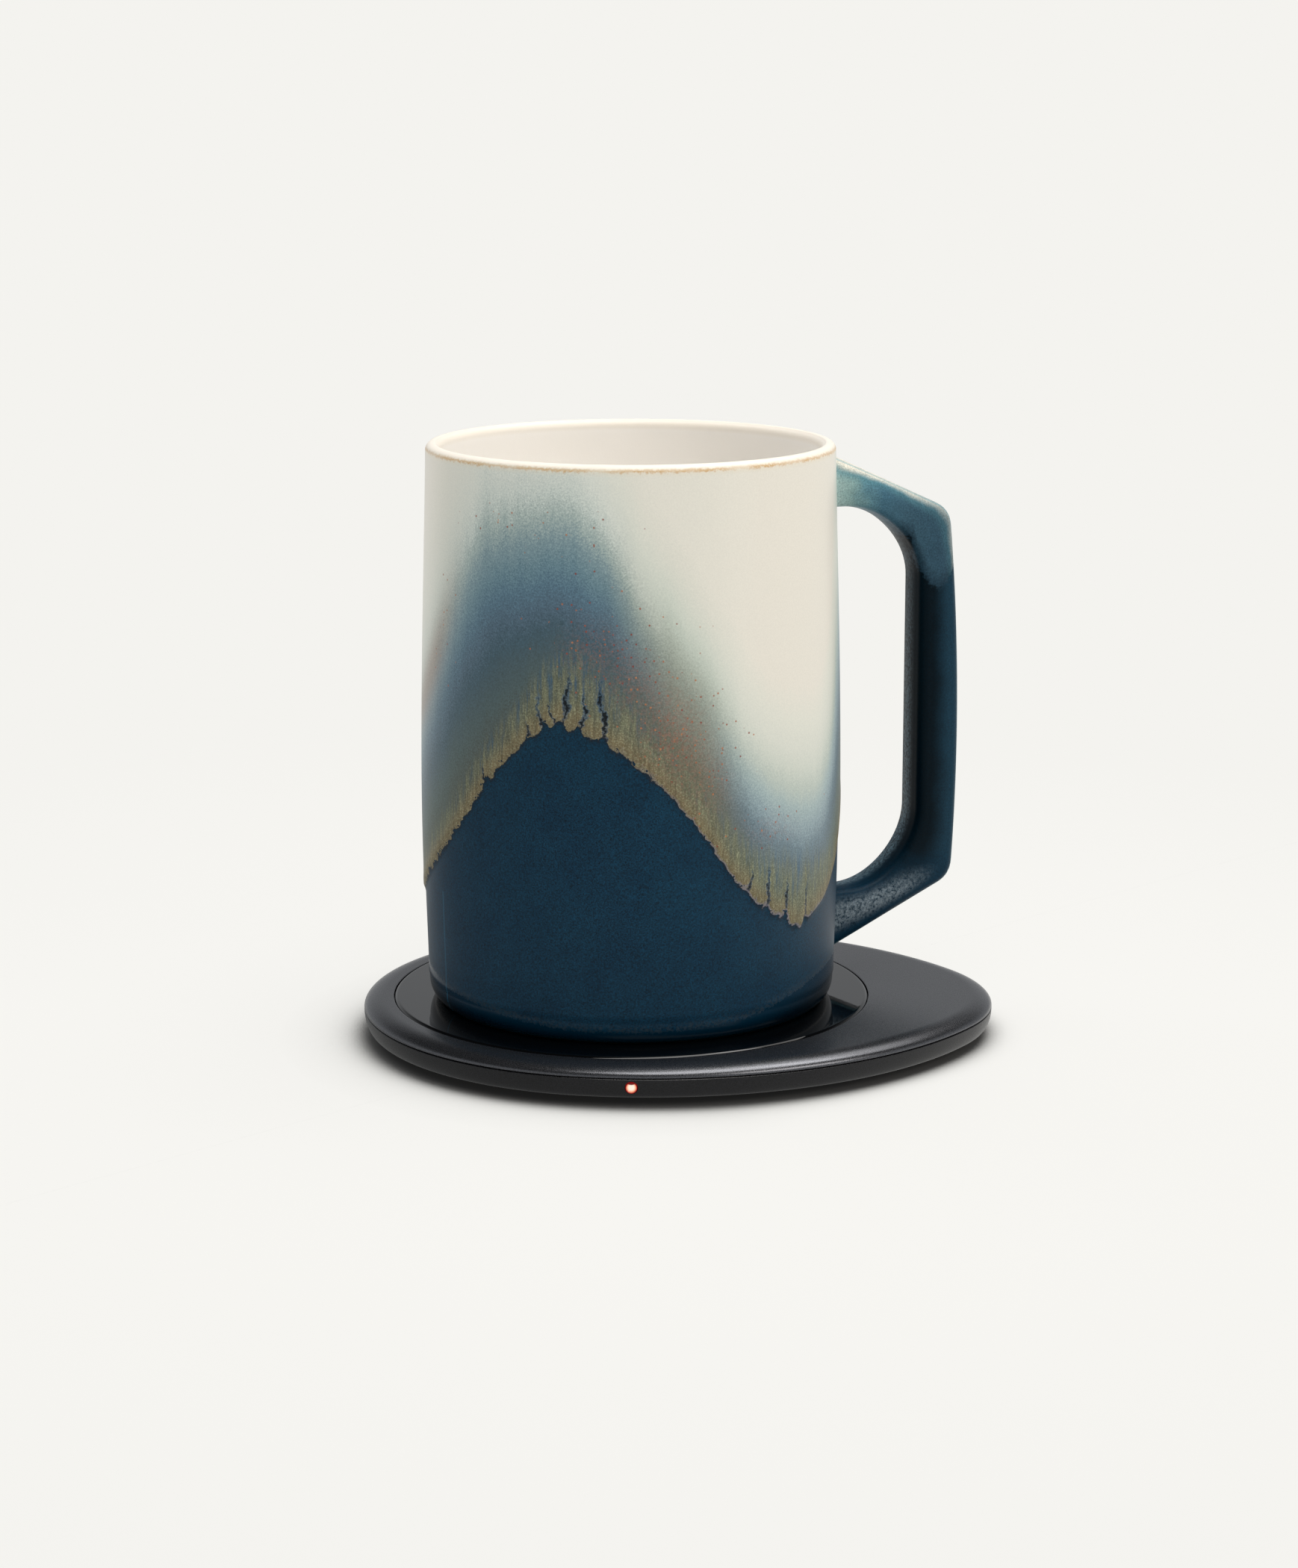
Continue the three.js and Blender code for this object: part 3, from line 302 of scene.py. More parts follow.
glaze = {
    # the lower edge of the poured second glaze
    "dipLine": [(-81, 23.7), (-73, 27.6), (-63, 33), (-55, 38.2), (-48.5, 43.2), (-41, 49.6), (-33.6, 54.9),
                (-25.7, 59.6), (-20, 61.2), (-12, 59.9), (-6, 58), (0, 55.2), (7, 51), (14, 45.2), (22, 38),
                (29, 30.9), (37, 25.2), (45, 22), (52.4, 19.4), (59, 21.2), (67.5, 24.1), (75, 28.8),
                (84, 37), (100, 45), (125, 47), (150, 37), (178, 27), (-155, 22), (-130, 24), (-105, 20)],
    # the height at which it has turned pale
    "creamLine": [(-80, 61), (-65, 73), (-50, 91), (-44, 97), (-36, 100), (-28, 101), (-15, 101), (-5, 94),
                  (5, 80), (15, 70), (25, 60), (35, 50), (45, 45), (58, 43.5), (65, 47), (72, 56), (80, 75),
                  (90, 92), (112, 103), (140, 96), (165, 74), (-165, 62), (-125, 56), (-100, 52)],
    # how far above that edge the last ochre streaks reach
    "streakReach": [(-80, 8), (-60, 9), (-45, 9.5), (-34, 10.5), (-24, 14), (-15, 18), (-5, 16), (5, 13.5),
                    (20, 11), (30, 12.5), (42, 15), (54, 17), (64, 13), (76, 8), (120, 14), (180, 8),
                    (-120, 8)],
    # 1 where blue shows between the streaks
    "blueShare": [(-80, 0.2), (-45, 0.4), (-30, 0.9), (-12, 1), (0, 0.4), (12, 0.2), (28, 0.5), (40, 0.9),
                  (60, 0.9), (75, 0.3), (120, 0.9), (180, 0.3), (-120, 0.3)],
    # where the pale glaze lies thin and olive, and where it is steel blue; elsewhere it is slate blue
    "oliveShare": [(-80, 0), (-45, 0), (-16, 0), (-6, 0.1), (4, 0.6), (12, 1), (22, 1), (30, 0.55), (38, 0),
                   (90, 0), (150, 0.6), (-165, 0.9), (-120, 0.2)],
    "steelShare": [(-80, 0.6), (-62, 0.5), (-50, 0.2), (-38, 0), (-20, 0), (18, 0), (27, 0.4), (38, 1),
                   (75, 1), (100, 0.4), (130, 0), (-140, 0)],
    # 1 where the edge has a pale line rather than a dark one
    "paleEdge": [(-80, 0.1), (-30, 0.05), (-5, 0.15), (10, 0.5), (30, 0.9), (60, 1), (80, 0.5), (150, 0.5),
                 (-140, 0.2)],
    # top of the glossy dark band round the foot
    "footLine": [(-80, 7.5), (-50, 5), (-20, 2.9), (15, 2.9), (35, 4), (50, 6.5), (75, 9), (120, 6),
                 (180, 4.4), (-120, 6)],
    # clouds of fine rust, and where single specks lie: angle, height, the spreads of both and the density
    "rustCloud": [(11, 60, 7.5, 8, 0.6), (0, 70, 6, 5, 0.35), (-11, 76, 7, 4.5, 0.3), (20, 50, 6, 6, 0.3),
                  (40, 40, 9, 2.5, 0.25), (165, 60, 12, 7, 0.8)],
    "rustSpecks": [(12, 62, 9, 11, 0.7), (-2, 73, 8, 6, 0.7), (-14, 78, 7, 5, 0.4), (24, 56, 7, 6, 0.35),
                   (42, 41, 11, 3.5, 0.3), (-31, 99, 20, 3.5, 0.16), (-62, 76, 5, 12, 0.2),
                   (-9, 88, 10, 7, 0.16), (150, 70, 14, 8, 0.3), (-150, 48, 14, 6, 0.3)],
    # splits in the ochre from their foot upwards: angle, height, half width of the dark core and of its halo
    "splits": [
        [(-27.5, 60.2, 0.3, 0.35), (-28.1, 61.4, 0.15, 0.2), (-28.3, 62.2, 0, 0.1)],
        [(-23.2, 61.5, 0.6, 0.75), (-24.5, 63, 0.28, 0.5), (-25.4, 64.6, 0.12, 0.4), (-25, 66.5, 0, 0.35),
         (-24.7, 67.8, 0, 0.1)],
        [(-19.9, 61.8, 0.25, 0.3), (-21.2, 63.6, 0.28, 0.4), (-21.9, 65, 0.22, 0.3), (-22.3, 66, 0, 0.1)],
        [(-18.3, 61.8, 0.15, 0.25), (-17.2, 63.6, 0.28, 0.5), (-16.8, 65.3, 0.5, 0.8),
         (-17.6, 66.8, 0.36, 0.75), (-16.8, 68.4, 0.32, 0.6), (-16.2, 70, 0.1, 0.35), (-16.5, 72, 0, 0.1)],
        [(-13.9, 60.3, 0.25, 0.35), (-12.9, 62.6, 0.3, 0.55), (-11.8, 63.8, 0.2, 0.6),
         (-11.6, 64.9, 0.48, 0.75), (-12.5, 66.1, 0.2, 0.55), (-12.4, 67.8, 0.05, 0.4),
         (-12.3, 70.5, 0, 0.12)],
        [(-6.9, 59.8, 0.35, 0.5), (-6.7, 62, 0.38, 0.6), (-6.9, 64.2, 0.5, 0.8), (-7.9, 65.5, 0.15, 0.55),
         (-8.1, 66.9, 0.4, 0.65), (-8, 68.8, 0.1, 0.35), (-8.2, 71, 0, 0.1)],
        [(-41.6, 49.1, 0.28, 0.3), (-42.3, 50.2, 0.25, 0.35), (-42.8, 51.6, 0.18, 0.3), (-42.4, 53, 0, 0.1)],
        [(-2, 55.4, 0.3, 0.35), (-2.8, 56.6, 0.1, 0.25), (-3, 57.4, 0, 0.1)],
        [(32.3, 29, 0.35, 0.45), (33.2, 30.4, 0.22, 0.45), (33.9, 31.8, 0.28, 0.35), (33.6, 33.2, 0, 0.15)],
        [(39, 25.2, 0.22, 0.35), (39.3, 27.2, 0.3, 0.5), (39.1, 28.8, 0.34, 0.55), (39.3, 30.8, 0.1, 0.4),
         (39.5, 33, 0, 0.12)],
        [(46, 22.3, 0.18, 0.3), (46.1, 24.6, 0.22, 0.4), (46.1, 26.8, 0.36, 0.5), (46.4, 28.2, 0.12, 0.35),
         (46.3, 30, 0, 0.1)],
        [(54.6, 22.4, 0.08, 0.2), (54.7, 25, 0.16, 0.3), (55.2, 28.5, 0.08, 0.25), (55.3, 31, 0, 0.08)],
        [(112, 45.2, 0.3, 0.4), (112.6, 48, 0.4, 0.7), (112.1, 51, 0.15, 0.4), (112.3, 54, 0, 0.1)],
        [(120, 46.6, 0.3, 0.4), (119.2, 50, 0.45, 0.8), (119.8, 53, 0.3, 0.6), (119.4, 56, 0, 0.15)],
        [(128, 46, 0.25, 0.4), (128.6, 49, 0.4, 0.7), (128, 51, 0.1, 0.4), (128.2, 53, 0, 0.1)],
    ],
    "splitCentre": 10.0,  # degrees that a split may stray from its foot
    "notch": (1.9, 1.7),  # depth in millimetres and half width in degrees where a split meets the edge
    "build": 0.42,  # thickness of the second glaze at its rolled edge
    "deep": "002d43",
    "deepLight": "033349",
    "footBorder": "2e3c46",
    "footDark": "02141f",
    "footBlue": "04293c",
    "footLow": "04303c",
    "darkRim": "1a2029",
    "paleRim": "86828c",
    "ochreBrown": "776c50",
    "ochreOlive": "6b6e58",
    "ochrePale": "8e9074",
    "streakBlue": "3c5c74",
    "splitBlue": "335a7d",
    "splitBlack": "020608",
    "rustCloudTone": "94685a",
    "rustDark": "873f38",
    "rustPale": "b97d55",
    "stain": "9b7a66",
    "inside": "fefaf3",
    "rimCream": "ead9bb",
    "lipTan": "c99f62",
    "seam": (-63.2, 25.0),  # its angle and its top
    "seamBlue": "175069",
    "rimHeights": (108.2, 109.4),  # between them the rim turns to its cream
    "insideHeights": (109.2, 110.2),  # between them it turns to the glaze of the inside
    "setBack": (0.3, 2, 8),  # how far the wall stands back under its glazes, growing between these heights
    "lipHeight": 108.7,
    "speckSpacing": 0.85,
    "clay": "c9b79b",
    # each ramp runs from the edge, 0, past the height where it turns pale, 0.5, to full cream, 1
    "slateStops": [(0.03, "57594f"), (0.135, "516263"), (0.185, "4c5f65"), (0.235, "465e6a"),
                   (0.285, "526979"), (0.335, "597788"), (0.385, "6a8893"), (0.435, "81999f"),
                   (0.487, "a6b6b2"), (0.54, "cbd4cd"), (0.6, "dde1d8"), (0.7, "e5e5da"), (0.85, "eae7db")],
    "oliveStops": [(0.06, "726b55"), (0.14, "6a6b5a"), (0.22, "6f6f5f"), (0.32, "7e8074"), (0.4, "878c80"),
                   (0.48, "939b90"), (0.56, "a9b2a6"), (0.64, "c0c9bd"), (0.72, "d0d6ca"), (0.8, "dadcd0"),
                   (0.88, "e0dfd3"), (1.0, "e6e3d7")],
    "steelStops": [(0.09, "677067"), (0.155, "6a7874"), (0.24, "66777e"), (0.32, "70848d"), (0.405, "90a3a9"),
                   (0.487, "a4b6b6"), (0.57, "bbc5bc"), (0.655, "cfd4c9"), (0.735, "d9dbd0"),
                   (0.85, "e0e0d4"), (1.0, "e7e2d6")],
}


def lineRound(points):
    # A smooth closed line round the mug through points of angle and value.
    angles, values = np.array(sorted(points), float).T
    angles = np.concatenate([angles[-2:] - 360, angles, angles[:2] + 360])
    values = np.concatenate([values[-2:], values, values[:2]])
    slopes = np.gradient(values, angles)

    def at(angle):
        angle = (np.asarray(angle, float) + 180) % 360 - 180
        i = np.clip(np.searchsorted(angles, angle) - 1, 0, len(angles) - 2)
        span = angles[i + 1] - angles[i]
        t = (angle - angles[i]) / span
        start = values[i] * (1 + 2 * t) * (1 - t) ** 2 + slopes[i] * span * t * (1 - t) ** 2
        return start + values[i + 1] * t * t * (3 - 2 * t) + slopes[i + 1] * span * t * t * (t - 1)

    return at


rounds = {name: lineRound(glaze[name]) for name in (
    "dipLine", "creamLine", "streakReach", "blueShare", "oliveShare", "steelShare", "paleEdge", "footLine")}


def smoothStep(value, low, high):
    t = np.clip((value - low) / (high - low), 0, 1)
    return t * t * (3 - 2 * t)


def dipEdge(angle):
    # The edge with a notch at the foot of each split, which leaves rounded tongues between them.
    edge = rounds["dipLine"](angle)
    depth, halfWidth = glaze["notch"]
    for split in glaze["splits"]:
        reach = depth * min(1, (split[-1][1] - split[0][1]) / 6)
        off = np.abs((angle - split[0][0] + 180) % 360 - 180) / halfWidth
        edge = edge + reach * np.clip(1 - off, 0, 1) ** 1.3
    return edge


def glazeBuild(angle, height):
    # The second glaze is thickest in the roll at its lower edge and thins out upwards.
    above = height - dipEdge(angle)
    roll = smoothStep(above, -0.5, 0.7) * (0.75 + 0.25 * np.exp(-((above - 1.6) / 1.6) ** 2))
    return glaze["build"] * roll * (1 - 0.6 * smoothStep(height, 60, 106))


def gatheredRust(name, angle, height):
    share = np.zeros_like(height)
    for place, level, wide, tall, most in glaze[name]:
        off = (angle - place + 180) % 360 - 180
        share = share + most * np.exp(-(off / wide) ** 2 - ((height - level) / tall) ** 2)
    return share


def writeAttributes(piece, values):
    for name, value in values.items():
        attribute = piece.data.attributes.new(name, "FLOAT", "POINT")
        attribute.data.foreach_set("value", np.ascontiguousarray(value, np.float32))


def glazeNoises(add):
    # Noises in millimetres, named for what they draw.
    place = inMillimetres(add)
    drawn = add("VectorMath.MULTIPLY", place, (1, 1, 0.11))

    def noise(size, detail, vector=place):
        return add("TexNoise", vector, 1 / size, detail, 0.6)

    return {
        "place": place,
        "grain": noise(0.3, 1.0),
        "coarseGrain": noise(0.55, 2.0),
        "fray": noise(0.7, 2.0),
        "lobes": noise(2.4, 1.0),
        "nick": noise(0.8, 1.0),
        "blots": noise(9, 3.0),
        "fineStreaks": noise(0.5, 2.0, drawn),
        "streaks": noise(1.2, 2.0, drawn),
        "runs": noise(4.0, 3.0, drawn),
    }


def finishGlaze(add, link, colour, rough, noises):
    # Grain from crystals in the glaze, over the slow waves of a poured coat.
    waves = add("Math.MULTIPLY", noises["blots"], 0.05)
    height = add("Math.MULTIPLY_ADD", noises["grain"], 0.012, waves)
    link(colour, "Base Color")
    link(rough, "Roughness")
    link(add("Bump", {"Strength": 1.0, "Distance": mm, "Height": height}), "Normal")


def grained(add, colour, grain, depth):
    # Lightens and darkens a colour with the grain, evenly about its own value.
    tone = add("Math.ADD", grain, -0.5)
    tone = add("Math.MULTIPLY", tone, depth)
    tone = add("Math.ADD", tone, 1)
    return add("VectorMath.SCALE", colour, tone)


def mugGlaze():
    # Reactive stoneware glaze, poured over a dark satin one and fired: it pales upwards, breaks ochre at its
    # lower edge, and its crystals give a fine grain under a soft gloss.
    material, add, link = newMaterial("reactive stoneware glaze", {"IOR": 1.5, "Specular IOR Level": 0.24})
    noises = glazeNoises(add)
    place, grain = noises["place"], noises["grain"]
    axes = add("SeparateXYZ", place).node.outputs
    height = add("Math.SUBTRACT", axes["Z"], mugFootZ)
    front = add("Math.MULTIPLY", axes["Y"], -1)
    turn = add("Math.ARCTAN2", axes["X"], front)
    angle = add("Math.MULTIPLY", turn, 180 / math.pi)
    field = {name: add("Attribute", output=2, attribute_name=name) for name in (
        "aboveDip", "streakReach", "blueShare", "paleShare", "oliveShare", "steelShare", "paleEdge",
        "rustCloud", "rustSpecks", "aboveFootBand", "stainShare", "insideShare", "bareShare")}

    # the dark lower glaze
    blotShare = add("MapRange", noises["blots"], 0.35, 0.65)
    deep = add("Mix.RGBA", blotShare, glaze["deep"], glaze["deepLight"])
    deep = grained(add, deep, grain, 2.3)

    # its foot: glossy and darker under a mottled grey border
    footEdge = add("Math.MULTIPLY_ADD", noises["fray"], 2, field["aboveFootBand"])
    footEdge = add("Math.SUBTRACT", footEdge, 1)
    border = add("MapRange.SMOOTHSTEP", footEdge, 1.9, 0.3, 0, 0.7)
    border = add("Math.MULTIPLY", border, add("MapRange", noises["coarseGrain"], 0.42, 0.56))
    footShare = add("MapRange.SMOOTHSTEP", footEdge, 0.5, -0.4)
    footBlue = add("MapRange", field["aboveFootBand"], -4.5, -0.8)
    footColour = add("Mix.RGBA", footBlue, glaze["footDark"], glaze["footBlue"])
    footLow = add("MapRange", height, 1.1, 0.5, 0, 0.8)
    deep = laidOver(add, deep, [(border, glaze["footBorder"]), (footShare, footColour),
                                (footLow, glaze["footLow"])])

    # the poured glaze from its edge up to cream
    pale = add("Math.MULTIPLY_ADD", grain, 0.18, field["paleShare"])
    pale = add("Math.MULTIPLY_ADD", noises["runs"], 0.16, pale)
    pale = add("Math.SUBTRACT", pale, 0.17)
    rampPlace = add("Math.MULTIPLY", pale, 0.5)
    slate, olive, steel = [add("ValToRGB", rampPlace, stops=glaze[name])
                           for name in ("slateStops", "oliveStops", "steelStops")]
    pour = laidOver(add, slate, [(field["oliveShare"], olive), (field["steelShare"], steel),
                                 (field["stainShare"], glaze["stain"])])

    # the ochre that breaks at the edge, drawn upwards in fine streaks with blue between them
    risen = add("Math.DIVIDE", field["aboveDip"], field["streakReach"])
    solid = add("MapRange.SMOOTHSTEP", risen, 1, 0.08)
    thin = add("Math.MULTIPLY", solid, add("Math.SUBTRACT", 1.0, solid))
    streak = add("Math.ADD", noises["fineStreaks"], noises["streaks"])
    streak = add("Math.MULTIPLY", add("Math.SUBTRACT", streak, 1), thin)
    ochreShare = add("Math.MULTIPLY_ADD", streak, 7, solid, use_clamp=True)
    blueGap = add("MapRange", streak, 0, -0.06, 0, 0.75)
    brown = add("MapRange.SMOOTHSTEP", field["aboveDip"], 5.5, 1)
    flecks = add("MapRange", grain, 0.5, 0.64, 0, 0.45)
    ochre = laidOver(add, glaze["ochreOlive"], [(brown, glaze["ochreBrown"]), (flecks, glaze["ochrePale"])])
    ochre = grained(add, ochre, noises["fineStreaks"], 1.5)
    pour = laidOver(add, pour, [(add("Math.MULTIPLY", blueGap, field["blueShare"]), glaze["streakBlue"]),
                                (add("Math.MULTIPLY", ochreShare, 0.96), ochre)])

    # clouds of fine rust and single specks, one in some of the cells
    dusty = add("MapRange", noises["coarseGrain"], 0.44, 0.6, 0, 0.85)
    cells = add("TexVoronoi", place, 1 / glaze["speckSpacing"]).node.outputs
    odds = add("SeparateColor", cells["Color"]).node.outputs
    chosen = add("Math.LESS_THAN", odds[0], field["rustSpecks"])
    speck = add("MapRange", cells["Distance"], 0.3, 0.16, 0, 0.85)
    rust = add("Mix.RGBA", odds[1], glaze["rustDark"], glaze["rustPale"])
    cloud = add("Math.MULTIPLY", dusty, field["rustCloud"])
    pour = laidOver(add, pour, [(cloud, glaze["rustCloudTone"]), (add("Math.MULTIPLY", speck, chosen), rust)])

    # the splits: each ramp gives the place, core and halo of one split along its height
    wander = add("Math.MULTIPLY_ADD", noises["nick"], 1.5, -0.75)
    ragged = add("Math.MULTIPLY_ADD", noises["coarseGrain"], 0.9, -0.45)
    found = {1: 0.0, 2: 0.0}  # the cores, and the halos
    degree = math.pi / 180 * mug["outerWall"][1][0]  # millimetres on the wall
    stray = glaze["splitCentre"]
    for split in glaze["splits"]:
        foot, low, high = split[0][0], split[0][1] - 0.8, split[-1][1]
        stops = [((z - low) / (high - low), ((a - foot) / stray + 0.5, wide / 2, blue / 2))
                 for a, z, wide, blue in split]
        along = add("MapRange", height, low, high, clamp=False)
        shape = add("SeparateColor", add("ValToRGB", along, stops=stops)).node.outputs
        line = add("Math.MULTIPLY_ADD", shape[0], stray, foot - stray / 2)
        off = add("Math.MULTIPLY_ADD", add("Math.SUBTRACT", angle, line), degree, wander)
        off = add("Math.ABSOLUTE", off)
        inRange = add("Math.COMPARE", along, 0.5, 0.5)
        for k, reach in ((1, add("Math.ADD", off, ragged)), (2, off)):
            inside = add("Math.SUBTRACT", add("Math.MULTIPLY", shape[k], 2), reach)
            inside = add("Math.MULTIPLY", add("MapRange", inside, -0.1, 0.25), inRange)
            found[k] = add("Math.MAXIMUM", found[k], inside)
    pour = laidOver(add, pour, [(add("Math.MULTIPLY", found[2], 0.55), glaze["splitBlue"]),
                                (add("Math.MULTIPLY", found[1], 0.92), glaze["splitBlack"])])

    # the frayed and nicked edge itself, with a dark or a pale line along it
    edge = add("Math.MULTIPLY_ADD", noises["fray"], 1, field["aboveDip"])
    edge = add("Math.MULTIPLY_ADD", noises["lobes"], 2.6, edge)
    edge = add("Math.SUBTRACT", edge, add("MapRange", noises["nick"], 0.6, 0.78, 1.8, 3.1))
    paleRim = add("Math.MULTIPLY", add("MapRange", edge, 0.8, 0.1, 0, 0.85), field["paleEdge"])
    darkRim = add("MapRange.SMOOTHSTEP", edge, -1, 0, 0, 0.7)
    deep = add("Mix.RGBA", darkRim, deep, glaze["darkRim"])
    pour = add("Mix.RGBA", paleRim, pour, glaze["paleRim"])
    pour = grained(add, pour, grain, add("MapRange", field["paleShare"], 0.5, 1.3, 0.85, 0.12))

    # the mould's seam, a thin line down the lower left
    seamAngle, seamTop = glaze["seam"]
    seam = add("MapRange", offFrom(add, angle, seamAngle), 0.45, 0.15, 0, 0.85)
    seam = add("Math.MULTIPLY", seam, add("Math.LESS_THAN", height, seamTop))

    # the inside, and the lip where the glaze breaks tan
    rimLow, rimHigh = glaze["rimHeights"]
    rimShare = add("MapRange", height, rimLow, rimHigh, 0, 0.35)
    lipHeight = add("Math.MULTIPLY_ADD", noises["fray"], 1.4, glaze["lipHeight"])
    lip = add("MapRange", offFrom(add, height, lipHeight), 0.5, 0.05)
    broken = add("MapRange", noises["blots"], 0.3, 0.58, 0.3, 0.85)
    for share in (broken, add("Math.SUBTRACT", 1.0, field["insideShare"])):
        lip = add("Math.MULTIPLY", lip, share)
    colour = laidOver(add, deep, [
        (add("MapRange", edge, -0.12, 0.12), pour),
        (seam, glaze["seamBlue"]),
        (field["insideShare"], glaze["inside"]),
        (rimShare, glaze["rimCream"]),
        (lip, glaze["lipTan"]),
        (field["bareShare"], glaze["clay"]),
    ])

    rough = add("MapRange", field["paleShare"], 0.2, 1.2, 0.44, 0.32)
    rough = add("Math.MULTIPLY", rough, add("MapRange", footShare, 0, 1, 1, 0.4))
    rough = add("Math.MULTIPLY_ADD", field["bareShare"], 0.5, rough)
    finishGlaze(add, link, colour, rough, noises)
    return material


# The mug, thrown round its axis

mug = {
    "height": 110.4,
    "outerWall": [(40.35, 4.6), (40.75, 9), (41.35, 46), (40, 108.9)],
    "innerWall": [(37, 108.9), (37.95, 46), (37.35, 15)],
    "footRadius": 37.5,
    "footRound": (2.85, 4.6),
    "recessRadius": 33.2,
    "recessHeight": 4,
    "edgeRound": 0.5,  # at the foot's inner edge
    "floorHeight": 8,
    "floorRound": 7,
    "rimRadius": 40,
    "rimRound": 1.5,
    "rowStep": 0.75,
    "sides": 384,
}


def curveThrough(points, steps=80):
    # The curve that the wall follows: its tangent at a point is parallel to the line between its neighbours.
    found = []
    for i in range(len(points) - 1):
        p0, p1, p2, p3 = [np.array(points[k]) for k in (max(i - 1, 0), i, i + 1, min(i + 2, len(points) - 1))]
        for t in np.linspace(0, 1, steps, endpoint=i == len(points) - 2):
            v0, v1 = (p2 - p0) / 2, (p3 - p1) / 2
            cubic, square = 2 * p1 - 2 * p2 + v0 + v1, 3 * p2 - 3 * p1 - 2 * v0 - v1
            found.append(cubic * t ** 3 + square * t ** 2 + v0 * t + p1)
    return np.array(found)


outerCurve = curveThrough(mug["outerWall"])


def wallRadius(height):
    return np.interp(height, outerCurve[:, 1], outerCurve[:, 0])


def mugProfile():
    # Returns the section from the middle of the hollow foot round to the middle of the floor, and where the
    # outer wall and the inside begin and end in it.
    m = mug
    footW, footH = m["footRound"]
    edge, recess, rim, corner = m["edgeRound"], m["recessRadius"], m["rimRound"], m["floorRound"]
    wallTop, rimMiddle = m["height"] - rim, m["rimRadius"] - rim
    start = [(r, m["recessHeight"]) for r in np.linspace(2, recess - edge, 8)]
    start += ellipseArc(recess - edge, m["recessHeight"] - edge, edge, edge, 90, 0, 4)
    start += ellipseArc(recess + edge, edge, edge, edge, 180, 270, 5)
    start += [(r, 0) for r in np.linspace(recess + 2 * edge, m["footRadius"] - 0.3, 4)]
    outside = ellipseArc(m["footRadius"], footH, footW, footH, -90, 0, 16)
    rows = np.arange(footH + m["rowStep"], wallTop, m["rowStep"])
    outside += [(float(wallRadius(z)), z) for z in rows]
    outside += ellipseArc(rimMiddle, wallTop, rim, rim, 0, 110, 12)
    inside = ellipseArc(rimMiddle, wallTop, rim, rim, 120, 180, 6)
    inner = curveThrough(m["innerWall"])[::-1]
    rows = np.arange(wallTop - 1.5, m["floorHeight"] + corner, -1.5)
    inside += [(float(np.interp(z, inner[:, 1], inner[:, 0])), z) for z in rows]
    cornerRadius = m["innerWall"][-1][0] - corner
    inside += ellipseArc(cornerRadius, m["floorHeight"] + corner, corner, corner, 0, -90, 14)
    inside += [(r, m["floorHeight"]) for r in np.linspace(cornerRadius - 2, 2, 10)]
    return start + outside + inside, len(start), len(start) + len(outside)


def makeMug():
    profile, wallFrom, insideFrom = mugProfile()
    sides = mug["sides"]
    turns = np.linspace(0, 2 * np.pi, sides, endpoint=False)
    angle = np.degrees(np.arctan2(np.cos(turns), -np.sin(turns)))
    at = {name: line(angle) for name, line in rounds.items()}
    edge = dipEdge(angle)
    setBack, setFrom, setTo = glaze["setBack"]
    rings, fields = [], []
    for k, (radius, height) in enumerate(profile):
        level = np.full(sides, float(height))
        inside = k >= insideFrom
        spread = np.zeros(sides)
        if wallFrom <= k < insideFrom:
            spread = glazeBuild(angle, level) - setBack * smoothStep(level, setFrom, setTo)
        reach = radius + spread
        rings.append(np.stack([reach * np.cos(turns), reach * np.sin(turns), level + mugFootZ], -1) * mm)
        pale = (level - at["dipLine"]) / (at["creamLine"] - at["dipLine"])
        stain = np.exp(-((pale - 0.98) / 0.17) ** 2) * smoothStep(-angle, 48, 70) * smoothStep(level, 48, 60)
        here = {name: at[name] for name in (
            "streakReach", "blueShare", "oliveShare", "steelShare", "paleEdge")}
        here["aboveDip"] = np.full(sides, 60.0) if inside else level - edge
        here["paleShare"] = np.full(sides, 3.0) if inside else pale
        here["aboveFootBand"] = np.full(sides, 50.0) if inside else level - at["footLine"]
        here["rustCloud"] = gatheredRust("rustCloud", angle, level)
        here["rustSpecks"] = np.zeros(sides) if inside else gatheredRust("rustSpecks", angle, level)
        here["stainShare"] = 0.55 * stain
        turned = float(smoothStep(height, *glaze["insideHeights"]))
        here["insideShare"] = np.full(sides, 1.0 if inside else turned)
        here["bareShare"] = np.full(sides, 1.0 if k < wallFrom + 2 else 0.0)
        fields.append(here)
    piece = makePiece("mug_wall", loft(rings), "mug", "glazed_stoneware", ["mug_body"], mugGlaze(), 60)
    values = {}
    for name in fields[0]:
        rows = [field[name] for field in fields]
        values[name] = np.concatenate(rows + [rows[0][:1], rows[-1][:1]])
    writeAttributes(piece, values)


makeMug()
print("mug body ready")


# The handle

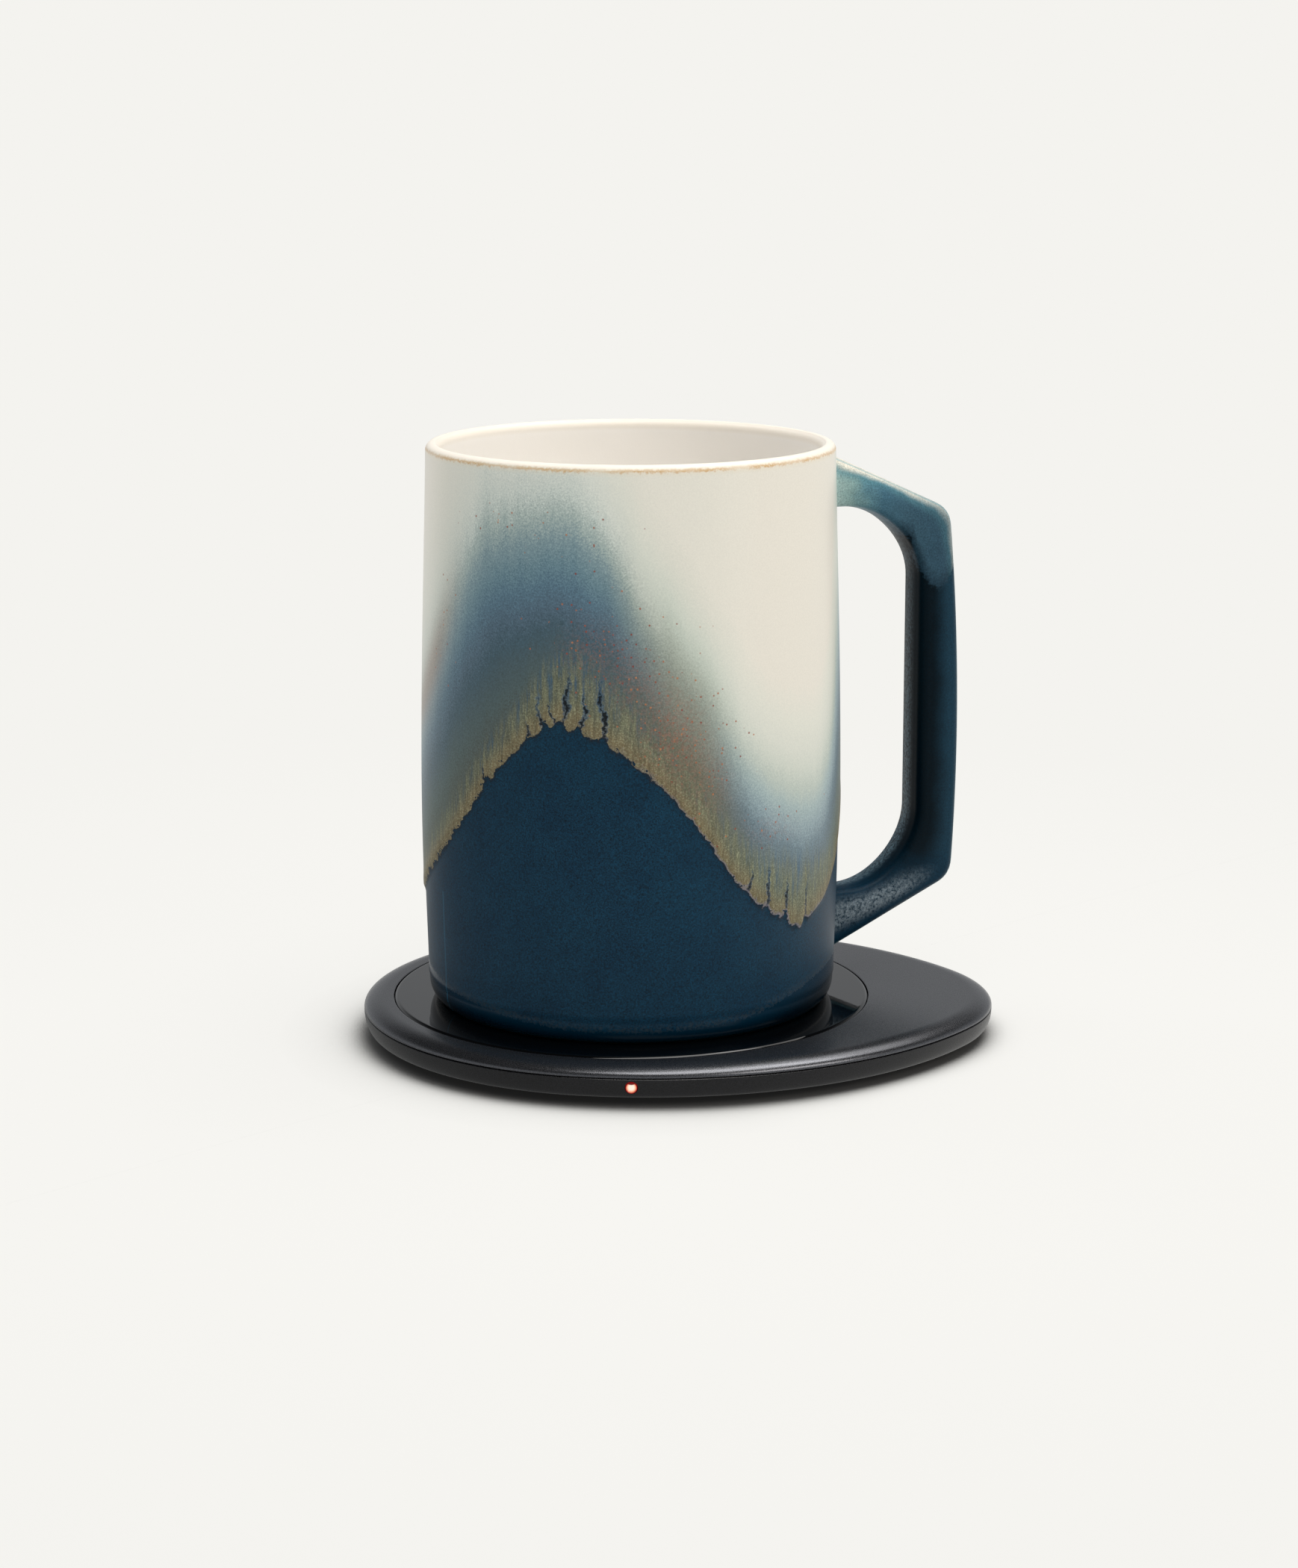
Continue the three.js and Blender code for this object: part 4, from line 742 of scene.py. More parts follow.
handle = {
    "turn": 22,  # degrees from +X towards +Y
    "width": 10,
    "edgeRound": 2.1,
    "crown": 0.25,  # its faces are slightly domed
    "reach": 70.3,
    "thickness": 8.9,
    "topRoot": (36, 108.6),
    "upperCorner": (68.0, 94.0),
    "lowerCorner": (69.5, 18.2),
    "bottomRoot": (36, 2.3),
    "gapTop": 95.6,
    "gapBottom": 17.4,
    "upperArch": (16.8, 15.4),
    "lowerArch": (15.2, 15.6),
    "cornerRound": 3.2,
    "filletTop": 1.4,
    "filletSide": 2.4,
    "sunk": 0.6,  # its ends lie this deep in the wall
    "rootLevels": (105, 8),  # heights at which the wall is measured for that
    "rootBlend": 7,  # over this length its sides follow the round of the wall
    "crystalSize": 0.65,
    "stations": 300,
    "sidePoints": 9,
    "black": "00111a",
    "barSlate": "123445",
    "paleTeal": "b4cac4",
    "armTeal": "82a09e",
    "armMiddle": "5f8690",
    "armBlue": "42687a",
    "slate": "3b5a6a",
    "slateDark": "284252",
    "teal": "5a8c96",
    # cream of the thin glaze on the top edge, also the painted highlight along its top face
    "cream": "e2dccc",
    "crystal": "8a979e",
    "lowTeal": "022c40",
    "lowDark": "021a28",
    "coatRim": "0a1e2c",
    # the lower edge of the thicker coat: its lowest point, how fast it rises beside it and as far as where
    "coatLow": (64.8, 75.0),
    "coatRise": 0.31,
    "coatReach": 5.8,
    "outerLine": "6c9aa4",
    # grey of the painted highlight on the inner face
    "innerHighlightGrey": "5a7480",
}


def towards(start, end, distance):
    start, end = np.array(start, float), np.array(end, float)
    return start + (end - start) * distance / np.linalg.norm(end - start)


def bend(points, steps):
    # A Bezier curve through its first and last points.
    points = [np.array(p, float) for p in points]
    found = []
    for t in np.linspace(0, 1, steps + 1):
        level = points
        while len(level) > 1:
            level = [a + (b - a) * t for a, b in zip(level, level[1:])]
        found.append(level[0])
    return found


def lengthShares(path):
    lengths = np.concatenate([[0], np.cumsum(np.linalg.norm(np.diff(path, axis=0), axis=1))])
    return lengths / lengths[-1]


def resample(path, places):
    path, shares = np.array(path), lengthShares(path)
    return np.stack([np.interp(places, shares, path[:, k]) for k in (0, 1)], -1)


def handleEdges():
    # The outer and inner edge of the handle from its upper root to its lower one, with matching stations.
    h = handle
    gapX, r = h["reach"] - h["thickness"], h["cornerRound"]
    high, low = h["upperCorner"], h["lowerCorner"]
    bow = np.array([2 * h["reach"] - (high[0] + low[0]) / 2, (high[1] + low[1]) / 2])
    roots = []
    for corner, root, level in zip((high, low), (h["topRoot"], h["bottomRoot"]), h["rootLevels"]):
        wall = float(wallRadius(level)) - h["sunk"]
        slope = (corner[1] - root[1]) / (corner[0] - root[0])
        roots.append(np.array([wall, root[1] + slope * (wall - root[0])]))
    start, end = roots
    upperIn, upperOut = towards(high, start, r), towards(high, bow, r)
    lowerIn, lowerOut = towards(low, bow, r), towards(low, end, r)
    outer = [start] + bend([upperIn, high, upperOut], 16) + bend([upperOut, bow, lowerIn], 30)[1:]
    outer += bend([lowerIn, low, lowerOut], 16)[1:] + [end]
    inner = [np.array([start[0], h["gapTop"]])]
    arcs = []
    for (wide, tall), level, way in ((h["upperArch"], h["gapTop"], -1), (h["lowerArch"], h["gapBottom"], 1)):
        x, y = gapX - wide, level + way * tall
        arcs.append([(x, level), ((gapX + x) / 2, level), (gapX, (y + level) / 2), (gapX, y)])
    inner += bend(arcs[0], 30) + bend(arcs[1][::-1], 30) + [np.array([end[0], h["gapBottom"]])]
    outerShares, innerShares = lengthShares(outer), lengthShares(inner)
    keysOuter = [0, outerShares[1 + 8], outerShares[1 + 16 + 30 + 8], 1]
    keysInner = [0, innerShares[1 + 17], innerShares[1 + 31 + 13], 1]
    # closer stations at the roots and corners
    even = np.linspace(0, 1, h["stations"])
    places = even - 0.85 * np.sin(2 * math.pi * even) / (2 * math.pi)
    outerPlaces = np.interp(places, [0, 0.3, 0.7, 1], keysOuter)
    innerPlaces = np.interp(outerPlaces, keysOuter, keysInner)
    return resample(outer, outerPlaces), resample(inner, innerPlaces)


def sectionOutline(halfWidth, halfHeight, edge, crown, count):
    # A rounded rectangle with domed sides, its points even in number on each side and corner. Each point is
    # a place across the width and along the height.
    points = []
    for sx, sy, start in ((1, -1, -90), (1, 1, 0), (-1, 1, 90), (-1, -1, 180)):
        for a in np.radians(np.linspace(start, start + 90, count)):
            x, y = sx * (halfWidth - edge), sy * (halfHeight - edge)
            points.append((x + edge * math.cos(a), y + edge * math.sin(a)))
    full = []
    for i, a in enumerate(points):
        b = points[(i + 1) % len(points)]
        full.append(a)
        if (i + 1) % count == 0:
            for t in np.linspace(0, 1, count + 1)[1:-1]:
                dome = crown * 4 * t * (1 - t)
                x, y = a[0] + (b[0] - a[0]) * t, a[1] + (b[1] - a[1]) * t
                if abs(b[1] - a[1]) < abs(b[0] - a[0]):
                    full.append((x, y + math.copysign(dome, y)))
                else:
                    full.append((x + math.copysign(dome, x), y))
    return np.array(full)


def flare(fillet, away):
    return fillet - math.sqrt(max(0, fillet ** 2 - max(0, fillet - away) ** 2))


def makeHandle():
    h = handle
    turn = math.radians(h["turn"])
    along = np.array([math.cos(turn), math.sin(turn), 0])
    side = np.array([-math.sin(turn), math.cos(turn), 0])
    rings, fields = [], {"across": [], "side": []}
    for o, i in zip(*handleEdges()):
        centre, span = (o + i) / 2, o - i
        tall = np.linalg.norm(span)
        up = span / tall
        away = max(0.0, centre[0] - float(wallRadius(centre[1])))
        flareSide, flareTop = flare(h["filletSide"], away), flare(h["filletTop"], away)
        halfWidth = h["width"] / 2 - h["crown"] + flareSide
        ring = []
        for w, t in sectionOutline(halfWidth, tall / 2, h["edgeRound"], h["crown"], h["sidePoints"]):
            stretch = (flareTop if t > 0 else flareSide) * (t / (tall / 2))
            reach, level = centre + up * (t + stretch)
            wall = float(wallRadius(level))
            sag = wall - math.sqrt(max(1, wall ** 2 - w * w))
            reach = reach - sag * max(0.0, 1 - away / h["rootBlend"])
            ring.append(along * reach + side * w + np.array([0, 0, level + mugFootZ]))
            fields["across"].append(t / (tall / 2))
            fields["side"].append(w / halfWidth)
        rings.append(np.array(ring) * mm)
    for values in fields.values():
        values += [values[0], values[-1]]
    piece = makePiece("mug_grip", loft(rings), "mug", "glazed_stoneware", ["mug_handle"], handleGlaze(), 60)
    shape = bmesh.new()
    shape.from_mesh(piece.data)
    bmesh.ops.recalc_face_normals(shape, faces=shape.faces)
    shape.to_mesh(piece.data)
    shape.free()
    writeAttributes(piece, fields)


def handleGlaze():
    # The same glazes on the handle: cream where they ran thin off its top edge, with a painted highlight
    # along its top face, near black where they pooled, and a painted grey highlight on the inner face.
    h = handle
    material, add, link = newMaterial("reactive stoneware glaze, handle", {
        "IOR": 1.5, "Specular IOR Level": 0.12})
    noises = glazeNoises(add)
    turn = math.radians(h["turn"])
    reach = add("VectorMath.DOT_PRODUCT", noises["place"], (math.cos(turn), math.sin(turn), 0))
    height = add("Math.SUBTRACT", add("SeparateXYZ", noises["place"], output=2), mugFootZ)
    across = add("Attribute", output=2, attribute_name="across")

    # the upper arm, pale at the wall and slate towards the corner
    reachNow = add("Math.MULTIPLY_ADD", noises["blots"], 9, reach)
    arm = add("ValToRGB", add("MapRange", reachNow, 43.5, 73.5), stops=[
        (0.08, h["paleTeal"]), (0.23, h["armTeal"]), (0.32, h["armMiddle"]), (0.4, h["armBlue"]),
        (0.6, h["slate"]), (1.0, h["slateDark"])])

    # the bar, near black inside and slate along its outer side, and the lower arm in deep blue
    outerShare = add("Math.MULTIPLY_ADD", noises["blots"], 0.8, across)
    outerShare = add("MapRange.SMOOTHSTEP", outerShare, -0.1, 1)
    lowShare = add("Math.MULTIPLY_ADD", noises["blots"], 10, height)
    lowShare = add("MapRange.SMOOTHSTEP", lowShare, 31, 20)

    # on the lower arm a mottled streak of pale crystals
    crystals = add("TexNoise", noises["place"], 1 / h["crystalSize"], 3, 0.7)
    middle = add("MapRange.SMOOTHSTEP", offFrom(add, across, -0.1), 0.75, 0.15)
    lowArm = add("MapRange.SMOOTHSTEP", height, 22, 15)
    nearWall = add("MapRange.SMOOTHSTEP", reach, 68, 62)
    pale = add("MapRange", crystals, 0.3, 0.62, 0, 0.8)
    for share in (middle, lowArm, nearWall):
        pale = add("Math.MULTIPLY", pale, share)
    dark = add("Math.MULTIPLY", add("MapRange", crystals, 0.48, 0.34, 0, 0.5), lowShare)
    bar = laidOver(add, h["black"], [(outerShare, h["barSlate"]), (lowShare, h["lowTeal"]),
                                     (pale, h["crystal"]), (dark, h["lowDark"])])

    # between them, the scalloped edge of the thicker coat
    coatX, coatZ = h["coatLow"]
    inward = add("Math.MINIMUM", offFrom(add, reach, coatX), h["coatReach"])
    coatLine = add("Math.MULTIPLY_ADD", add("Math.POWER", inward, 2), h["coatRise"], coatZ)
    coatLine = add("Math.MULTIPLY_ADD", noises["fray"], 3.5, coatLine)
    above = add("Math.SUBTRACT", height, coatLine)
    overShare = add("MapRange", above, 1.2, 2.2)
    rim = add("MapRange", above, 5.5, 2.2, 0, 0.6)
    colour = add("Mix.RGBA", overShare, bar, add("Mix.RGBA", rim, arm, h["coatRim"]))

    # teal and then cream along the top edge of the upper arm: glaze run thin there, and on its top face a
    # painted highlight
    edgeShare = add("Math.MULTIPLY_ADD", noises["blots"], 0.6, across)
    onTop = add("MapRange", reach, 69, 52, 0.25, 1)
    for share in (add("Math.LESS_THAN", reach, 69.5), overShare):
        onTop = add("Math.MULTIPLY", onTop, share)
    for low, high, most, tone in ((0.45, 1.05, 0.8, h["teal"]), (0.85, 1.25, 1.0, h["cream"])):
        share = add("MapRange.SMOOTHSTEP", edgeShare, low, high, 0, most)
        colour = add("Mix.RGBA", add("Math.MULTIPLY", share, onTop), colour, tone)

    # a thin pale line along the outer corner
    line = add("MapRange", offFrom(add, across, 0.93), 0.07, 0.01, 0, 0.6)

    # the inner face greyer: a painted highlight in grey flecks where it catches the light, more of it lower
    # down and on its far half
    inner = add("MapRange.SMOOTHSTEP", across, -0.93, -1.0, 0, 0.9)
    side = add("Attribute", output=2, attribute_name="side")
    far = add("MapRange.SMOOTHSTEP", side, -0.4, 0.2)
    highlightFlecks = add("MapRange", noises["coarseGrain"], 0.38, 0.62, 0.1, 1)
    lowInside = add("MapRange", height, 84, 40, 0.3, 1)
    for share in (far, highlightFlecks, lowInside):
        inner = add("Math.MULTIPLY", inner, share)
    colour = laidOver(add, colour, [(line, h["outerLine"]), (inner, h["innerHighlightGrey"])])

    colour = grained(add, colour, noises["grain"], 1.1)
    rough = add("MapRange", noises["fray"], 0.3, 0.7, 0.32, 0.45)
    finishGlaze(add, link, colour, rough, noises)
    return material


makeHandle()
print("handle ready")


# Materials of the base and of the parts inside

def grainedMaterial(name, dark, light, grain, relief, roughness, values, stretch=(1, 1, 1)):
    # One surface with two close tones, a fine relief and a roughness that varies with them.
    material, add, link = newMaterial(name, values)
    scale = tuple(s / (grain * mm) for s in stretch)
    place = add("VectorMath.MULTIPLY", add("TexCoord", output=3), scale)
    noise = add("TexNoise", place, 1, 1, 0.5)
    spread = add("MapRange", noise, 0.36, 0.64)
    link(add("Mix.RGBA", spread, dark, light), "Base Color")
    link(add("MapRange", spread, 0, 1, *roughness), "Roughness")
    link(add("Bump", {"Strength": 1.0, "Distance": mm * relief, "Height": noise}), "Normal")
    return material


looks = {
    # slot: name, dark and light tone, grain and relief in millimetres, roughness, other values of the shader
    # and, where the grain is drawn out or packed, its scale along each axis
    # bead-blasted aluminium with a black anodic film: an even, fine sparkle and a soft metallic sheen
    "anodised_black": ("bead-blasted black anodised aluminium", "5c5d61", "747579", 0.16, 0.006, (0.25, 0.31),
                       {"Metallic": 0.95}),
    # moulded ABS with a spark-eroded texture: charcoal, matte, with a weak sheen at the edge
    "moulded_black": ("spark-textured black ABS", "0b0b0e", "16161a", 0.3, 0.02, (0.27, 0.35), {"IOR": 1.53}),
    # silicone rubber, moulded: dull dark grey that shows a fine dust
    "silicone": ("moulded silicone rubber", "232324", "2e2e30", 0.6, 0.03, (0.75, 0.9), {"IOR": 1.41}),
    # enamelled copper litz: warm red-brown strands under varnish
    "copper_winding": ("enamelled copper litz wire", "8a4a24", "c97b45", 0.25, 0.08, (0.25, 0.4),
                       {"Metallic": 1.0}),
    # sintered ferrite: slate grey ceramic with a dry, chalky face
    "ferrite": ("sintered ferrite", "2d2e31", "3f4044", 0.4, 0.03, (0.6, 0.75), {}),
    # glass-epoxy laminate under green solder mask: smooth and waxy, with the weave just showing
    "circuit_board": ("solder-masked glass-epoxy board", "13482c", "1f6b40", 0.5, 0.02, (0.3, 0.42),
                      {"IOR": 1.55}),
    # transfer-moulded epoxy: black, finely pitted
    "chip_black": ("moulded epoxy chip package", "131416", "202124", 0.2, 0.03, (0.5, 0.62), {}),
    # multilayer ceramic: plain tan with a faint mottling
    "ceramic_tan": ("fired capacitor ceramic", "9a8158", "bda57c", 0.4, 0.02, (0.4, 0.55), {}),
    # nickel-plated steel, drawn: bright, with faint lines
    "steel": ("nickel-plated drawn steel", "a9abad", "c9cacb", 0.15, 0.02, (0.22, 0.34),
              {"Metallic": 1.0}, (1, 0.08, 1)),
    # acrylic foam tape: grey, open and matte
    "tape": ("acrylic foam tape", "565656", "747474", 0.3, 0.08, (0.8, 0.92), {}),
    # etched steel foil in polyimide: amber film over a bright track
    "heating_foil": ("polyimide heating foil", "a8612a", "c98a45", 1.2, 0.02, (0.25, 0.4), {"Metallic": 0.4}),
    # pressed ceramic fibre: off-white and woolly
    "ceramic_felt": ("pressed ceramic fibre felt", "cfc9bb", "e6e1d5", 0.8, 0.25, (0.9, 1.0), {},
                     (1, 1, 3.3)),
}
materials = {slot: grainedMaterial(*look) for slot, look in looks.items()}


def blackGlass():
    # Tempered soda-lime glass, printed black underneath and polished: a clear dark mirror, faintly wiped.
    material, add, link = newMaterial("polished black glass", {"IOR": 1.5})
    wipe = add("TexNoise", inMillimetres(add), 1 / 14, 5, 0.7)
    link(add("Mix.RGBA", wipe, "020203", "050607"), "Base Color")
    link(add("MapRange", wipe, 0.3, 0.7, 0.015, 0.04), "Roughness")
    return material


indicator = {
    "z": 4.0,
    "radius": 1.1,
    "clearance": 0.15,
    "core": "fff0dc",
    "glow": "ffb489",
    "edge": "b0201a",
    "shade": "6e0508",
    "body": "2a0605",
}


def litAmber():
    # Clear acrylic lit from behind: pale and hot in the middle and red round its rim, with painted shade in
    # dark red under its upper lip.
    i = indicator
    material, add, link = newMaterial("lit acrylic light pipe", {
        "Base Color": i["body"], "Emission Strength": 1.0, "Roughness": 0.12, "IOR": 1.49})
    flat = add("VectorMath.MULTIPLY", inMillimetres(add), (1, 0, 1))
    centred = add("VectorMath.SUBTRACT", flat, (0, 0, i["z"]))
    share = add("Math.DIVIDE", add("VectorMath.LENGTH", centred), i["radius"])
    glow = add("ValToRGB", share, stops=[(0.0, i["core"]), (0.45, i["core"]), (0.72, i["glow"]),
                                         (0.88, i["edge"]), (1.0, i["shade"])])
    # painted shade: a dark red crescent where the dished end's upper wall lies in shadow
    lip = add("VectorMath.LENGTH", add("VectorMath.SUBTRACT", centred, (0, 0, 1.35)))
    glow = add("Mix.RGBA", add("MapRange", lip, 1, 0.8), glow, i["shade"])
    link(glow, "Emission Color")
    return material


def lampWhite():
    # The lamp's cast epoxy lens over a phosphor: warm white that glows.
    material, add, link = newMaterial("cast epoxy lamp lens", {"Emission Strength": 0.6, "Roughness": 0.3})
    cloud = add("TexNoise", inMillimetres(add), 1 / 0.5)
    colour = add("Mix.RGBA", cloud, "f0d9a8", "fff3d6")
    link(colour, "Base Color")
    link(colour, "Emission Color")
    return material


materials["black_glass"] = blackGlass()
materials["clear_amber"] = litAmber()
materials["lamp_white"] = lampWhite()
print("materials ready")


# The base

base = {
    "wideRadius": 53.4,
    "tipRadius": 35.1,
    "tipLength": 18.8,
    "flankSlack": 11.6,
    "underside": 0.7,
    "edge": 1.75,
    "parting": 5.8,
    "partingGap": 0.15,
    "flatTop": 7.9,
    "discTop": 8.1,
    "shoulderWidth": 4.2,
    "undercut": 1.75,
    "underslope": 7.2,
    "topWall": 1.2,
    "innerRound": 1.2,
    "floorWall": 1.2,
    "sideWall": 2.2,
    "lipHeight": 0.5,
    "lipInset": 1.55,
    "arcPoints": (30, 48, 96),  # round the tip, along each flank, round the wide end
    "discRadius": 47.3,
    "discThickness": 1.1,
    "seatClearance": 0.16,
    "seatDepth": 1.3,
    "seatWall": 1.2,
    "ledge": 0.9,
    "wellRadius": 33.5,
    "padInset": 10.5,
    "padRecess": 0.5,
    "bossRadius": 2.3,
    "lowerBossRadius": 3.3,
    "boardUnder": 2.9,
    "screwHole": 1.15,
    "screwHeadHole": 1.95,
    "screwHeadTop": 2.4,
    "screwTop": 6.15,
    "screwAngles": (50, 130, 230, 310),
    "tipScrewX": 55.2,
    "postRadius": 2,
    "postCircle": 24,
    "seatEdge": 0.12,  # the arc at the rim of the disc's seat
    "soft": 0.3,  # the arc at the lower edge, and at the foot pad's
    "overlap": 0.3,  # how far bosses and posts reach into what they stand on
    "discBevel": 0.42,
    "discArc": (1.2, 35, 62),  # its radius, and where it begins and ends
    "socketClearance": 0.3,  # all round it, half of this
    "socketSheet": 0.3,
}
tipCentreX = base["wideRadius"] + base["tipLength"] - base["tipRadius"]
flankRadius = (base["wideRadius"] + base["tipRadius"] + tipCentreX) / 2 + base["flankSlack"]
fromWide, fromTip = flankRadius - base["wideRadius"], flankRadius - base["tipRadius"]
flankX = (fromWide ** 2 - fromTip ** 2 + tipCentreX ** 2) / (2 * tipCentreX)
flankY = math.sqrt(fromWide ** 2 - flankX ** 2)
wideJoin = math.atan2(flankY, -flankX)
tipJoin = math.atan2(flankY, tipCentreX - flankX)


def eggRing(inset, z):
    # The outline of the base, moved inwards by inset, with a hair more so that it stays inside the outline.
    inset += 0.03
    tip, flank, wide = base["arcPoints"]
    parts = [
        (tipCentreX, 0, base["tipRadius"] - inset, -tipJoin, tipJoin, tip),
        (flankX, -flankY, flankRadius - inset, tipJoin, wideJoin, flank),
        (0, 0, base["wideRadius"] - inset, wideJoin, 2 * math.pi - wideJoin, wide),
        (flankX, flankY, flankRadius - inset, -wideJoin, -tipJoin, flank),
    ]
    points = []
    for x, y, radius, start, end, count in parts:
        for angle in np.linspace(start, end, count, endpoint=False):
            points.append((x + radius * math.cos(angle), y + radius * math.sin(angle), z))
    return np.array(points) * mm


def roundRing(radius, z):
    # A circle round the mug's axis, with its points in the directions of the outline's.
    outline = eggRing(base["shoulderWidth"], 0)
    angle = np.arctan2(outline[:, 1], outline[:, 0])
    return np.stack([radius * np.cos(angle), radius * np.sin(angle), np.full(len(angle), z)], -1) * mm


def sideReach(inset):
    return math.sqrt((flankRadius - inset) ** 2 - flankX ** 2) - flankY


def cylinder(radius, low, high, place=(0, 0)):
    return loft(turnedRings([(radius, low), (radius, high)], 48, *place))


screwCircle = (base["wellRadius"] + base["discRadius"] + base["seatClearance"]) / 2
screwPlaces = [(screwCircle * math.cos(a), screwCircle * math.sin(a))
               for a in np.radians(base["screwAngles"])] + [(base["tipScrewX"], 0)]


def makeTopShell():
    b = base
    wide, edge, parting, flat = b["shoulderWidth"], b["seatEdge"], b["parting"], b["flatTop"]
    seatRadius, seatZ = b["discRadius"] + b["seatClearance"], b["discTop"] - b["seatDepth"]
    underTop, underSeat = flat - b["topWall"], seatZ - b["ledge"]
    shoulder = ellipseArc(wide, parting + edge, wide, flat - parting - edge, 180, 90, 20)
    rings = [eggRing(edge, parting), eggRing(0, parting + edge)]
    rings += [eggRing(i, z) for i, z in shoulder[1:]] + [eggRing(wide + 0.25, flat)]
    rings += [roundRing(seatRadius + edge + 0.3, flat)]
    rings += [roundRing(r, z) for r, z in ellipseArc(seatRadius + edge, flat - edge, edge, edge, 90, 180, 4)]
    rings += [roundRing(r, z) for r, z in (
        (seatRadius, seatZ), (b["wellRadius"], seatZ), (b["wellRadius"], underSeat),
        (seatRadius + b["seatWall"], underSeat), (seatRadius + b["seatWall"], underTop - 0.01))]
    innerInset = b["topWall"] + b["innerRound"]
    rings += [eggRing(max(innerInset, 3.2), underTop)]
    for a in np.linspace(0.3, math.pi / 2, 6):
        inset = innerInset - b["innerRound"] * (1 - math.cos(a))
        rings.append(eggRing(inset, parting + (underTop - parting) * math.cos(a)))
    piece = makePiece("top_cover", loft(rings, loop=True), "charging_base", "anodised_black", ["top_shell"])
    under, hole, top = b["boardUnder"], b["screwHole"], b["screwTop"]
    posts = [cylinder(b["bossRadius"], under, underTop + b["overlap"], place) for place in screwPlaces]
    holes = [cylinder(hole, under - 1, top - b["overlap"], place) for place in screwPlaces]
    cutOrJoin(piece, posts, "UNION")
    cutOrJoin(piece, holes, "DIFFERENCE")


def ovalRing(width, height, y, z, steps=24):
    # A flat-sided oval round an axis that runs from front to back.
    half, straight = height / 2, width / 2 - height / 2
    ends = ((straight, -math.pi / 2, math.pi / 2), (-straight, math.pi / 2, 3 * math.pi / 2))
    return np.array([(x + half * math.cos(a), y, z + half * math.sin(a))
                     for x, start, end in ends for a in np.linspace(start, end, steps)]) * mm


def makeBottomShell():
    b = base
    soft, cut, under, wall = b["soft"], b["undercut"], b["underside"], b["floorWall"]
    rimZ, lipZ = b["parting"] - b["partingGap"], b["parting"] + b["lipHeight"]
    flatInset, recess, floor = cut + b["underslope"], b["padInset"] - soft, under + wall
    edge = ellipseArc(cut, rimZ - 0.1, cut, rimZ - 0.1 - b["edge"], 270, 180, 20)
    rings = [eggRing(i, z) for i, z in [
        (recess, under + b["padRecess"]), (recess, under + 0.05), (recess - 0.05, under),
        (flatInset + soft, under), (flatInset - soft, under + 0.04),
        (cut + 0.6, b["edge"] - 0.08), (cut + 0.2, b["edge"] - 0.02), *edge[1:],
        (0.1, rimZ), (b["lipInset"], rimZ), (b["lipInset"], lipZ),
        (b["sideWall"], lipZ), (b["sideWall"], rimZ - 1.2), (cut + wall, b["edge"] + wall),
        (flatInset, floor)]]
    piece = makePiece("bottom_cover", loft(rings), "charging_base", "moulded_black", ["bottom_shell"])
    bossFoot = floor - b["overlap"]
    trayUnder = float(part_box("coil_tray")[0].z) / mm
    posts = [cylinder(b["lowerBossRadius"], bossFoot, b["boardUnder"], place) for place in screwPlaces]
    for a in np.radians((0, 90, 180, 270)):
        place = b["postCircle"] * math.cos(a), b["postCircle"] * math.sin(a)
        posts.append(cylinder(b["postRadius"], bossFoot, trayUnder, place))
    holes = [cylinder(b["screwHeadHole"], 0, b["screwHeadTop"], place) for place in screwPlaces]
    holes += [cylinder(b["screwHole"], 0, b["boardUnder"] + 1, place) for place in screwPlaces]
    low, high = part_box("socket_shell")
    gap = b["socketClearance"]
    width, height = (high.x - low.x) / mm + gap, (high.z - low.z) / mm + gap
    middle = (high.z + low.z) / 2 / mm
    opening = loft([ovalRing(width, height, y, middle) for y in (sideReach(0) + 1, low.y / mm - gap)])
    radius = indicator["radius"] + indicator["clearance"]
    pipe = loft(ringsAlongY([(radius, -45), (radius, -sideReach(0) - 1)], indicator["z"]))
    cutOrJoin(piece, posts, "UNION")
    cutOrJoin(piece, holes, "DIFFERENCE")
    cutOrJoin(piece, [opening, pipe], "DIFFERENCE")


def makeDisc():
    b = base
    r, top, bevel = b["discRadius"], b["discTop"], b["discBevel"]
    under = top - b["discThickness"]
    arc, low, high = b["discArc"]
    sideways, upwards = arc * math.cos(math.radians(low)), arc * math.sin(math.radians(low))
    inner = r - sideways + arc * math.cos(math.radians(high))
    profile = [(2, under), (r - 0.15, under), (r, under + 0.15), (r, top - bevel - 0.04)]
    profile += ellipseArc(r - sideways, top - bevel - upwards, arc, arc, low, high, 8)
    profile += [(inner - 0.08, top - 0.012), (inner - 0.16, top)]
    profile += [(x, top) for x in (r - 0.9, r - 3, r * 0.6, 2)]
    makePiece("glass_disc", loft(turnedRings(profile, 256)), "charging_base", "black_glass", ["warming_disc"])


